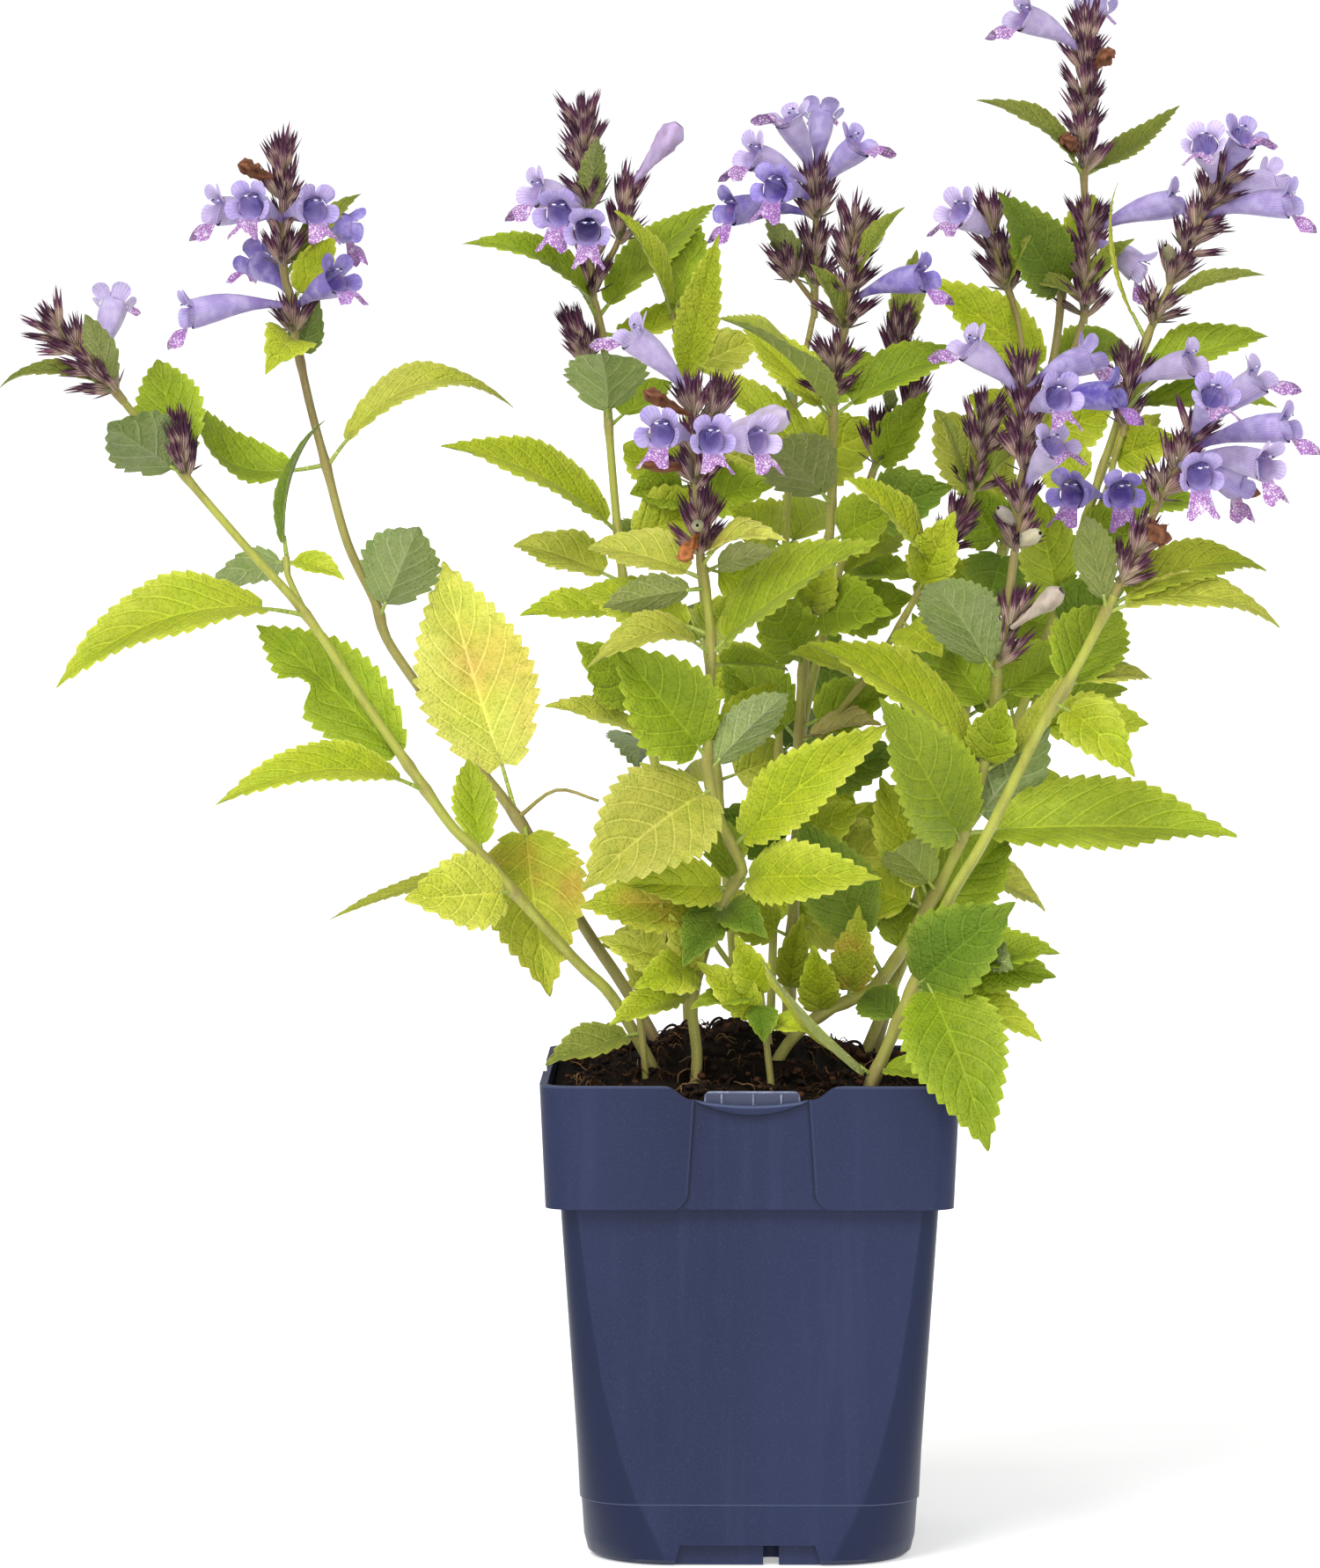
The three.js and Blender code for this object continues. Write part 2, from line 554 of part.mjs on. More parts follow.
    stalks: [[[[113.3, 28, 353.3], [116, 28.3, 359], [122, 29, 373], [134, 30, 397]], 1.2, 0.9]],
    whorls: [
      [[114, 28, 355], [122, 29, 374], 16],
      [[123, 29, 375], [137, 31, 402], 17],
    ],
    florets: [
      [[131, 30, 392], [128, 12, 404]],
      [[133, 30, 394], [139, 20, 406]],
      [[127, 30, 384], [151, 22, 388]],
    ],
    leaves: [[[116, 28.3, 359], [145, 16, 368], 7, 'up', 4, 0.12]],
  },
  {
    name: 'spike_lower_right',
    stalks: [[[[105.6, 20, 324.8], [107, 20, 342]], 1.1, 0.8]],
    whorls: [[[105.8, 20, 326], [108, 20, 348], 14]],
    florets: [[[106.5, 20, 336], [124, 10, 343]]],
  },
];

// Ways a leaf or floret may swing to stay clear of its neighbours: [depth, height] added to its tip
const DEPTH_SHIFTS = [0, -6, 6, -12, 12, -18, 18, -26, 26, -34, 34];
const HEIGHT_SHIFTS = [0, 5, -5];
const WHORL_SHRINKS = [1, 0.85, 0.7, 0.5]; // a crowded whorl is held narrower
const SHIFTS = HEIGHT_SHIFTS.flatMap((dz) => DEPTH_SHIFTS.map((dy) => [0, dy, dz]));

// ---------- Solids ----------
function solidOf(vertices, triangles) {
  let volume = 0;
  for (const [a, b, c] of triangles) {
    volume += vertices[a].dot(new THREE.Vector3().crossVectors(vertices[b], vertices[c]));
  }
  const outward = volume > 0 ? triangles : triangles.map(([a, b, c]) => [a, c, b]);
  const mesh = new wasm.Mesh({
    numProp: 3,
    vertProperties: new Float32Array(vertices.flatMap((v) => [v.x, v.y, v.z])),
    triVerts: new Uint32Array(outward.flat()),
  });
  return new wasm.Manifold(mesh);
}

function solidOfGeometry(geometry) {
  const bare = geometry.clone();
  bare.deleteAttribute('normal');
  bare.deleteAttribute('uv');
  const merged = BufferGeometryUtils.mergeVertices(bare, 1e-4);
  const position = merged.attributes.position;
  const vertices = [];
  for (let i = 0; i < position.count; i += 1) {
    vertices.push(new THREE.Vector3().fromBufferAttribute(position, i));
  }
  const triangles = [];
  for (let i = 0; i < merged.index.count; i += 3) {
    triangles.push([merged.index.getX(i), merged.index.getX(i + 1), merged.index.getX(i + 2)]);
  }
  return solidOf(vertices, triangles);
}

function box(x0, x1, y0, y1, z0, z1) {
  const geometry = new THREE.BoxGeometry(x1 - x0, y1 - y0, z1 - z0);
  geometry.translate((x0 + x1) / 2, (y0 + y1) / 2, (z0 + z1) / 2);
  return solidOfGeometry(geometry);
}

// A shape drawn in x and z, given thickness from y = front to y = back
function plate(shape, front, back) {
  const geometry = new THREE.ExtrudeGeometry(shape, {
    depth: back - front,
    bevelEnabled: false,
    curveSegments: 4,
  });
  geometry.rotateX(Math.PI / 2);
  geometry.translate(0, back, 0);
  return solidOfGeometry(geometry);
}

// Skin through rings of points, closed by a flat cap at each end
function loft(rings) {
  const sides = rings[0].length;
  const triangles = [];
  for (let r = 0; r + 1 < rings.length; r += 1) {
    for (let k = 0; k < sides; k += 1) {
      const a = r * sides + k;
      const b = r * sides + ((k + 1) % sides);
      triangles.push([a, b, b + sides], [a, b + sides, a + sides]);
    }
  }
  const last = (rings.length - 1) * sides;
  for (let k = 1; k + 1 < sides; k += 1) {
    triangles.push([0, k + 1, k], [last, last + k, last + k + 1]);
  }
  return solidOf(rings.flat(), triangles);
}

// Square stalk along a path, tapering evenly from one radius to the other
function stalkSolid([path, fromRadius, toRadius], grow = 0) {
  const points = path.map(at);
  points[0].add(points[0].clone().sub(points[1]).setLength(grow));
  let side = new THREE.Vector3(1, 0.2, 0);
  const rings = points.map((point, i) => {
    const before = points[Math.max(i - 1, 0)];
    const after = points[Math.min(i + 1, points.length - 1)];
    const along = after.clone().sub(before).normalize();
    side = side.clone().addScaledVector(along, -side.dot(along)).normalize();
    const across = new THREE.Vector3().crossVectors(along, side);
    const radius = THREE.MathUtils.lerp(fromRadius, toRadius, i / (points.length - 1)) + grow;
    return [0, 1, 2, 3].map((k) => point.clone()
      .addScaledVector(side, radius * Math.cos((k * Math.PI) / 2))
      .addScaledVector(across, radius * Math.sin((k * Math.PI) / 2)));
  });
  return loft(rings);
}

// Half width of a leaf along its blade, as a share of the greatest: full near the base, then to a point
function bladeOutline(u) {
  return Math.sin(Math.PI * u ** 0.6) ** 0.75;
}

function teethFor(length) {
  if (length > 60) return 4;
  return length > 38 ? 3 : 2;
}

// A leaf with its stalk: arched along its rib, folded up along it, with forward-pointing teeth
function leafSolid([start, tip, width, face, petiole, arch], [dx, dy, dz], grow = 0) {
  const base = at(start);
  const chord = at([tip[0] + dx, tip[1] + dy, tip[2] + dz]).sub(base);
  base.addScaledVector(chord, ROOT_OFFSET / chord.length());
  chord.multiplyScalar(1 - ROOT_OFFSET / chord.length());
  const length = chord.length();
  const broad = face === 'up' ? Math.max(width, Math.min(width * UP_BREADTH, length * BROADEST)) : width;
  const rise = length * arch - broad * FOLD * RIB_SINK;
  const along = chord.clone().normalize();
  const up = new THREE.Vector3(...FACES[face]);
  up.addScaledVector(along, -up.dot(along)).normalize();
  const side = new THREE.Vector3().crossVectors(along, up);
  const teeth = teethFor(length);
  const vertices = [];
  // adds the upper and lower vertex of one place on the blade, and returns the place's number
  const put = (u, offset) => {
    const s = (petiole + (length - petiole) * u) / length;
    const point = base.clone().addScaledVector(chord, s)
      .addScaledVector(up, rise * 4 * s * (1 - s) + Math.abs(offset) * FOLD)
      .addScaledVector(side, offset + Math.sign(offset) * grow);
    vertices.push(point.clone().addScaledVector(up, BLADE / 2 + grow));
    vertices.push(point.clone().addScaledVector(up, -BLADE / 2 - grow));
    return vertices.length / 2 - 1;
  };
  const root = -petiole / (length - petiole);
  const rib = [];
  for (let i = 1; i <= teeth; i += 1) {
    rib[i] = put(i / teeth, 0);
  }
  const faces = [];
  const edges = [];
  for (const hand of [-1, 1]) {
    const turn = (a, b, c) => faces.push(hand > 0 ? [a, b, c] : [a, c, b]);
    const edge = [put(root, hand * PETIOLE)];
    for (let i = 0; i < teeth; i += 1) {
      const notchAt = i / teeth;
      const toothAt = (i + 0.7) / teeth;
      const notchWidth = (broad / 2) * bladeOutline(notchAt) * (1 - TOOTH_CUT);
      const notch = put(notchAt, hand * Math.max(PETIOLE, notchWidth));
      const tooth = put(toothAt, hand * (broad / 2) * bladeOutline(toothAt));
      if (i > 0) {
        turn(rib[i], edge[edge.length - 1], notch);
        turn(rib[i], notch, tooth);
        turn(rib[i], tooth, rib[i + 1]);
      } else {
        turn(notch, tooth, rib[1]);
      }
      edge.push(notch, tooth);
    }
    edges.push(edge);
  }
  const [left, right] = edges;
  faces.push([left[0], right[0], right[1]], [left[0], right[1], left[1]], [left[1], right[1], rib[1]]);
  const outline = [...right, rib[teeth], ...left.reverse()];
  const triangles = [];
  for (const [a, b, c] of faces) {
    triangles.push([2 * a, 2 * b, 2 * c], [2 * a + 1, 2 * c + 1, 2 * b + 1]);
  }
  outline.forEach((a, i) => {
    const b = outline[(i + 1) % outline.length];
    triangles.push([2 * a, 2 * a + 1, 2 * b], [2 * b, 2 * a + 1, 2 * b + 1]);
  });
  return solidOf(vertices, triangles);
}

// Two directions square to a third
function squareTo(along) {
  const hint = Math.abs(along.z) > 0.9 ? new THREE.Vector3(0, -1, 0) : new THREE.Vector3(0, 0, 1);
  const up = hint.addScaledVector(along, -hint.dot(along)).normalize();
  return [up, new THREE.Vector3().crossVectors(along, up)];
}

// Even draws between -1 and 1 from a whole-number seed
function makeDraw(seed) {
  let state = seed * 7919 + 17;
  return () => {
    state = (state * 16807) % 2147483647;
    return (state / 2147483647) * 2 - 1;
  };
}

// Tiers of pointed calyces round a stretch of stalk. In each tier the calyces lean out from the core
// and stand apart at their tips; the tiers alternate, and close up towards the top.
function whorlSolid([foot, top, width], seed, shrink, grow = 0) {
  const low = at(foot);
  const axis = at(top).sub(low);
  const along = axis.clone().normalize();
  const [up, side] = squareTo(along);
  const draw = makeDraw(seed);
  const climb = Math.max(0, axis.length() - CALYX_LENGTH);
  const tiers = Math.round(climb / TIER_STEP) + 1;
  const lean = Math.asin(Math.min(0.85, ((width / 2) * shrink) / CALYX_LENGTH));
  const ringAt = (height, radiusOf) => {
    const ring = [];
    for (let k = 0; k < 2 * CALYCES_IN_TIER; k += 1) {
      const [radius, rise] = radiusOf(k);
      const angle = (k * Math.PI) / CALYCES_IN_TIER;
      ring.push(low.clone().addScaledVector(along, height + rise)
        .addScaledVector(up, (radius + grow) * Math.cos(angle))
        .addScaledVector(side, (radius + grow) * Math.sin(angle)));
    }
    return ring;
  };
  const step = tiers > 1 ? climb / (tiers - 1) : TIER_STEP;
  const rings = [ringAt(-grow, () => [CORE_RADIUS, 0])];
  for (let tier = 0; tier < tiers; tier += 1) {
    const share = tiers > 1 ? tier / (tiers - 1) : 0;
    const height = tier * step;
    rings.push(ringAt(height, (k) => {
      const tilt = lean * (1 - 0.45 * share) + draw() * 0.08;
      const length = CALYX_LENGTH * (1 + draw() * 0.08);
      const reach = k % 2 === tier % 2 ? length : length * NOTCH_SHARE;
      return [Math.max(CORE_RADIUS, reach * Math.sin(tilt)), reach * Math.cos(tilt)];
    }));
    rings.push(ringAt(height + Math.min(step, CALYX_LENGTH * 0.6), () => [CORE_RADIUS, 0]));
  }
  return loft(rings);
}

// Lobes of a floret as seen from its mouth: the angles it spans from the top, and its rim points as
// [angle, distance from the middle, how far it runs forward]. The upper lip is cleft in two.
const LOBES = [
  { from: -64, rim: [[-34, 8.6, 1], [0, 6, 1], [34, 8.6, 1]] },
  { from: 64, rim: [[82, 7.8, 2.5], [116, 7.8, 3.5]] },
  { from: 135, rim: [[154, 9, 9], [206, 9, 9]] },
  { from: 225, rim: [[244, 7.8, 3.5], [278, 7.8, 2.5]] },
];

// A two-lipped floret: a tube that widens to its mouth, two upper lobes, two side lobes and a lip
function floretSolid([base, mouth], [dx, dy, dz], grow = 0) {
  const foot = at(base);
  const end = at([mouth[0] + dx, mouth[1] + dy, mouth[2] + dz]);
  const along = end.clone().sub(foot);
  const length = along.length();
  along.normalize();
  const [up, side] = squareTo(along);
  const vertices = [];
  const put = (angle, radius, forward) => {
    const turn = THREE.MathUtils.degToRad(angle);
    vertices.push(foot.clone().addScaledVector(along, forward)
      .addScaledVector(up, radius * Math.cos(turn))
      .addScaledVector(side, radius * Math.sin(turn)));
    return vertices.length - 1;
  };
  const triangles = [];
  const throat = put(0, 0, length * 0.5);
  const tube = LOBES.map(({ from }) => put(from, 0.9 + grow, 0));
  const front = LOBES.map(({ from }) => put(from, THROAT + grow, length + grow));
  const back = LOBES.map(({ from }) => put(from, THROAT + grow, length - PETAL - grow));
  for (let k = 1; k + 1 < tube.length; k += 1) {
    triangles.push([tube[0], tube[k], tube[k + 1]]);
  }
  LOBES.forEach(({ rim }, k) => {
    const next = (k + 1) % LOBES.length;
    triangles.push([tube[k], back[next], tube[next]], [tube[k], back[k], back[next]]);
    triangles.push([throat, front[next], front[k]]);
    const rimFront = rim.map(([angle, radius, ahead]) => put(angle, radius + grow, length + ahead + grow));
    const rimBack = rim.map(([angle, radius, ahead]) => put(angle, radius + grow,
      length + ahead - PETAL - grow));
    const frontLoop = [front[k], ...rimFront, front[next]];
    const backLoop = [back[k], ...rimBack, back[next]];
    for (let i = 1; i + 1 < frontLoop.length; i += 1) {
      triangles.push([frontLoop[0], frontLoop[i + 1], frontLoop[i]]);
      triangles.push([backLoop[0], backLoop[i], backLoop[i + 1]]);
    }
    for (let i = 0; i + 1 < frontLoop.length; i += 1) {
      triangles.push([frontLoop[i], frontLoop[i + 1], backLoop[i + 1]]);
      triangles.push([frontLoop[i], backLoop[i + 1], backLoop[i]]);
    }
  });
  return solidOf(vertices, triangles);
}

// A closed or dried floret: a four-sided spindle, blunt at its tip
function budSolid([base, tip, radius], [dx, dy, dz], grow = 0) {
  const foot = at(base);
  const along = at([tip[0] + dx, tip[1] + dy, tip[2] + dz]).sub(foot);
  const length = along.length();
  along.normalize();
  const [up, side] = squareTo(along);
  const rings = [[0, 0.7], [0.7, radius], [1, radius * 0.5]].map(([share, size]) => (
    [0, 1, 2, 3].map((k) => foot.clone().addScaledVector(along, length * share)
      .addScaledVector(up, (size + grow) * Math.cos((k * Math.PI) / 2))
      .addScaledVector(side, (size + grow) * Math.sin((k * Math.PI) / 2)))
  ));
  return loft(rings);
}

// ---------- Pot and soil ----------
function roundedSquare(half, flat, z) {
  const points = [];
  for (let corner = 0; corner < 4; corner += 1) {
    const turn = (corner * Math.PI) / 2;
    for (let k = 0; k < CORNER_POINTS; k += 1) {
      const angle = turn + (k / (CORNER_POINTS - 1)) * (Math.PI / 2);
      const middle = new THREE.Vector2(flat, flat).rotateAround(new THREE.Vector2(), turn);
      points.push(new THREE.Vector3(
        middle.x + (half - flat) * Math.cos(angle),
        middle.y + (half - flat) * Math.sin(angle),
        z,
      ));
    }
  }
  return points;
}

// The bare middle of one side of the band, between the two corner panels
function panelGap() {
  const corner = BAND_BOTTOM + PANEL_CORNER;
  const shape = new THREE.Shape();
  const low = BAND_BOTTOM - 1;
  shape.moveTo(PANEL_LEFT.top, RIM_TOP + 1);
  shape.lineTo(PANEL_LEFT.low, corner);
  shape.quadraticCurveTo(PANEL_LEFT.low - 0.5, BAND_BOTTOM + 1, PANEL_LEFT.low - PANEL_CORNER, low);
  shape.lineTo(PANEL_RIGHT.low + PANEL_CORNER, low);
  shape.quadraticCurveTo(PANEL_RIGHT.low + 0.5, BAND_BOTTOM + 1, PANEL_RIGHT.low, corner);
  shape.lineTo(PANEL_RIGHT.top, RIM_TOP + 1);
  // leans with the band's face, so that the recess is equally deep all the way down
  const lean = new THREE.Matrix4().makeShear(0, 0, 0, 0, 0, -BAND_TAPER)
    .setPosition(0, BAND_TAPER * RIM_TOP, 0);
  return plate(shape, -RIM_HALF - 1, -RIM_HALF + PANEL_DEPTH).transform(lean.toArray());
}

// The opening above the sagging front lip, with S-shaped ends
function lipOpening() {
  const ends = RIM_TOP - LIP.drop;
  const middle = (PANEL_LEFT.top + PANEL_RIGHT.top) / 2;
  const bendLeft = (LIP.left + PANEL_LEFT.top) / 2;
  const bendRight = (LIP.right + PANEL_RIGHT.top) / 2;
  const shape = new THREE.Shape();
  shape.moveTo(LIP.left, RIM_TOP + 1);
  shape.lineTo(LIP.left, RIM_TOP);
  shape.bezierCurveTo(bendLeft, RIM_TOP, bendLeft, ends, PANEL_LEFT.top, ends);
  shape.quadraticCurveTo(middle, ends - LIP.sag, PANEL_RIGHT.top, ends);
  shape.bezierCurveTo(bendRight, ends, bendRight, RIM_TOP, LIP.right, RIM_TOP);
  shape.lineTo(LIP.right, RIM_TOP + 1);
  return plate(shape, -RIM_HALF - 1, LIP.back);
}

// The thickened edge of the front lip
function lipEdge() {
  const ends = RIM_TOP - LIP.drop;
  const middle = (PANEL_LEFT.top + PANEL_RIGHT.top) / 2;
  const shape = new THREE.Shape();
  shape.moveTo(PANEL_LEFT.top, ends);
  shape.quadraticCurveTo(middle, ends - LIP.sag, PANEL_RIGHT.top, ends);
  shape.quadraticCurveTo(middle, ends - LIP.sag - LIP.edge, PANEL_LEFT.top, ends);
  return plate(shape, LIP.front, LIP.back - 0.6);
}

// The recess in the foot of the front side, with its drain
function footNotch() {
  const { foot, top, inner, high } = FOOT_NOTCH;
  const shape = new THREE.Shape();
  shape.moveTo(foot[0], -1);
  shape.lineTo(foot[1], -1);
  shape.lineTo(top[1], high);
  shape.lineTo(top[0], high);
  const { left, right, radius, reach } = DRAIN;
  const hole = new THREE.CylinderGeometry(radius, radius, 2 * high, 12);
  hole.rotateX(Math.PI / 2);
  hole.translate((left + right) / 2, -reach, high);
  return plate(shape, -RIM_HALF, -inner)
    .add(box(left, right, -RIM_HALF, -reach, -1, high - 0.5))
    .add(solidOfGeometry(hole));
}

function makePot() {
  const rings = [...POT_INSIDE, ...POT_OUTSIDE].map(([z, half, flat]) => roundedSquare(half, flat, z));
  let pot = loft(rings);
  for (let quarter = 0; quarter < 4; quarter += 1) {
    pot = pot.subtract(panelGap().rotate(0, 0, quarter * 90));
  }
  const { left, right, front, back, low, high } = SLOT_TAB;
  const { half, proud, short } = TAB_RIB;
  pot = pot.subtract(lipOpening())
    .add(lipEdge())
    .add(box(left, right, front, back, low, high))
    .add(box(left, right, LIP.back - 0.8, back, low - 4, low + 0.5));
  for (const x of SLOT_RIBS) {
    pot = pot.add(box(x - half, x + half, front - proud, front + 0.3, low, high - short));
  }
  for (let quarter = 0; quarter < 4; quarter += 1) {
    pot = pot.subtract(footNotch().rotate(0, 0, quarter * 90));
  }
  return pot;
}

function soilHeight(x, y) {
  const mound = SOIL_MOUND * Math.exp(-((x + 6) ** 2) / 2600 - ((y - 16) ** 2) / 2000);
  return SOIL_EDGE + mound + 1.3 * Math.sin(x * 0.33 + y * 0.19) * Math.cos(y * 0.29 - x * 0.12);
}

// Peat up to the wall of the pot, with a mounded, uneven top
function makeSoil() {
  const wall = HOLE_GAP;
  const sides = POT_INSIDE.slice(0, -1).map(([z, half, flat]) => roundedSquare(half - wall, flat, z));
  sides[0].forEach((point) => point.setZ(SOIL_BOTTOM));
  const [, rimHalf, rimFlat] = POT_INSIDE[POT_INSIDE.length - 1];
  const top = [1, 0.84, 0.64, 0.42, 0.2].map((share) => (
    roundedSquare((rimHalf - wall - 0.4) * share, rimFlat * share, 0)
      .map((point) => point.setZ(soilHeight(point.x, point.y)))
  ));
  const { left, right, front } = SLOT_TAB;
  return loft([...sides, ...top])
    .subtract(box(left - 2, right + 2, front - 6, SLOT_TAB.back + 0.5, BAND_BOTTOM + 2, RIM_TOP));
}

// ---------- Assembly ----------
// Every solid set so far, with its node's name and its box, for keeping neighbours apart
const placed = [];

function place(node, solid, carries = false) {
  placed.push({ name: node.name, carries, solid, box: solid.boundingBox() });
  node.solids.push(solid);
}

function boxesMeet(a, b) {
  return [0, 1, 2].every((i) => a.min[i] <= b.max[i] && b.min[i] <= a.max[i]);
}

// True where a solid meets nothing but the stalks of its own node or, if asked, anything of its own
function isClear(name, solid, mayMeetOwn = false) {
  const bounds = solid.boundingBox();
  return placed.every((other) => {
    const passes = other.name === name && (other.carries || mayMeetOwn);
    return passes || !boxesMeet(bounds, other.box) || solid.intersect(other.solid).isEmpty();
  });
}

// Sets a leaf, floret or bud in the first position in which it stands clear, or else in the first in
// which it only crosses its own node
function placeClear(node, make, item) {
  const clear = (mayMeetOwn) => (shift) => isClear(node.name, make(item, shift, GAP), mayMeetOwn);
  const shift = SHIFTS.find(clear(false)) ?? SHIFTS.find(clear(true));
  if (shift) place(node, make(item, shift));
}

// Sets a whorl as wide as its neighbours leave room for
function placeWhorl(node, whorl, seed) {
  const clear = (share) => isClear(node.name, whorlSolid(whorl, seed, share, GAP), true);
  const share = WHORL_SHRINKS.find(clear);
  if (share) place(node, whorlSolid(whorl, seed, share), true);
}

function largestBody(solid) {
  return solid.decompose().sort((a, b) => b.volume() - a.volume())[0];
}

function meshOf(name, solid, color) {
  const { numProp, vertProperties, triVerts } = solid.getMesh();
  const positions = new Float32Array((vertProperties.length / numProp) * 3);
  for (let i = 0; i < positions.length / 3; i += 1) {
    positions.set(vertProperties.subarray(i * numProp, i * numProp + 3), i * 3);
  }
  const geometry = new THREE.BufferGeometry();
  geometry.setAttribute('position', new THREE.BufferAttribute(positions, 3));
  geometry.setIndex(new THREE.BufferAttribute(new Uint32Array(triVerts), 1));
  geometry.computeVertexNormals();
  const material = new THREE.MeshStandardMaterial({ color, roughness: 0.6, metalness: 0 });
  const mesh = new THREE.Mesh(geometry, material);
  mesh.name = name;
  return mesh;
}

const pot = { name: 'pot', solids: [] };
const soil = { name: 'soil', solids: [] };
const nodes = PLANT.map((plant) => ({ ...plant, solids: [] }));

place(pot, makePot());
let peat = makeSoil();
for (const { stalks } of PLANT) {
  if (stalks[0][0][0][2] < SOIL_EDGE) peat = peat.subtract(stalkSolid(stalks[0], HOLE_GAP));
}
place(soil, peat);

for (const node of nodes) {
  node.stalks.forEach((stalk) => place(node, stalkSolid(stalk), true));
}
let whorlCount = 0;
for (const node of nodes) {
  for (const whorl of node.whorls ?? []) {
    whorlCount += 1;
    placeWhorl(node, whorl, whorlCount);
  }
}
for (const node of nodes) {
  (node.florets ?? []).forEach((floret) => placeClear(node, floretSolid, floret));
  (node.buds ?? []).forEach((bud) => placeClear(node, budSolid, bud));
}
for (const node of nodes) {
  (node.leaves ?? []).forEach((leaf) => placeClear(node, leafSolid, leaf));
}

const group = new THREE.Group();
for (const node of [pot, soil, ...nodes]) {
  const kind = node.name.split('_')[0];
  const whole = largestBody(wasm.Manifold.union(node.solids)).asOriginal().simplify(SMOOTH);
  group.add(meshOf(node.name, whole, COLORS[kind]));
}

export default group;
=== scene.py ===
# Looks of the catmint plant and its square pot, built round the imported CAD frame.
# Lengths are in millimetres until a piece is made, which turns them into metres.
import math
from functools import partialmethod

import bmesh
import bpy
import numpy as np
from mathutils import Matrix, Vector
from mathutils.kdtree import KDTree


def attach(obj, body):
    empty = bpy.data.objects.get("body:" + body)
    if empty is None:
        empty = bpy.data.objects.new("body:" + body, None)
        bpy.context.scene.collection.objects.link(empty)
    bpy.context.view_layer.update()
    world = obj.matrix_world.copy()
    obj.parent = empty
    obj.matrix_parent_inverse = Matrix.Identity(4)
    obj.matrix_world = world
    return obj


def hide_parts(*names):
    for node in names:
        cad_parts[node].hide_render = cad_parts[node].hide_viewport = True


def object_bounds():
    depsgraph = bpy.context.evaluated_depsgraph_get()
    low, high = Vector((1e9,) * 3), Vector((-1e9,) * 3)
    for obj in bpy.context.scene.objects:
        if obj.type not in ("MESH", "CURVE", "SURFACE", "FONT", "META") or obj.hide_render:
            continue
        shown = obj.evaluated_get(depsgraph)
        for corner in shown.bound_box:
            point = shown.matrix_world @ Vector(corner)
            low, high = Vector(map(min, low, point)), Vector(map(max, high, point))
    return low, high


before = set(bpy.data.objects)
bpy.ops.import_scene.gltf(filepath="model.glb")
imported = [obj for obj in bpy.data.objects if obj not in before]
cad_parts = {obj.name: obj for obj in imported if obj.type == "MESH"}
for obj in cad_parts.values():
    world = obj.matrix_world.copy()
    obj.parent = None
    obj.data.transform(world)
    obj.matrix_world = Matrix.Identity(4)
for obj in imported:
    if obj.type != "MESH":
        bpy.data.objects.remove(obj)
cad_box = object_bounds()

# ---------- Driving dimensions, as in the solids ----------
BLADE = 0.9  # thickness of a leaf
UP_BREADTH = 1.45  # how much broader a blade that faces up is than the drawing shows it
BROADEST = 0.52  # greatest breadth of such a blade as a share of its length
ROOT_OFFSET = 0.6  # from the stalk's axis to where what it carries begins
FOLD = 0.35  # rise of a blade's edges, as a share of half its breadth
RIB_SINK = 0.25  # how far the rib lies under the drawn line, as a share of breadth times FOLD
CALYX_LENGTH = 10.5
TIER_STEP = 8
VIEW_DISTANCE = 2000
VIEW_HEIGHT = 348
GROUND_LINE = 2.2
RIM_HALF = 60
RIM_TOP = 139.7
BAND_BOTTOM = 104.2
PARTING_LINE = 18
PARTING_SEAM = 17.8  # the middle of the pale line on the seam
PANEL_CORNER = 5
PANEL_LEFT = {'top': -15.5, 'low': -17.8}
PANEL_RIGHT = {'top': 16.7, 'low': 19}
LIP = {'left': -25, 'right': 26.5, 'drop': 4, 'sag': 3, 'edge': 5.2, 'front': -60.4, 'back': -57.4}
SLOT_TAB = {'left': -13, 'right': 14.5, 'front': -56.6, 'back': -55.2, 'low': 112, 'high': 138}
FACES = {'up': (0, -0.8, 1), 'front': (0, -1, 0.35), 'away': (0, 1, 0.3), 'left': (-1, -0.5, 0.3)}
# Swings of a leaf's or floret's tip that the solids try in turn, and how narrow a whorl is held
DEPTH_SHIFTS = (0, -6, 6, -12, 12, -18, 18, -26, 26, -34, 34)
SHIFTS = [(0, dy, dz) for dz in (0, 5, -5) for dy in DEPTH_SHIFTS]
WHORL_SHRINKS = (1, 0.85, 0.7, 0.5)
# A vertex of the solid this near to where a tip should be is that tip
TIP_REACH, WHORL_TIP_REACH = 0.35, 0.3


def tones(codes):
    """Linear colours from six-digit codes, each with an alpha of 1."""
    parts = [[int(code[i:i + 2], 16) / 255 for i in (0, 2, 4)] for code in codes]
    return np.array([[p / 12.92 if p <= 0.04045 else ((p + 0.055) / 1.055) ** 2.4 for p in part] + [1]
                     for part in parts])


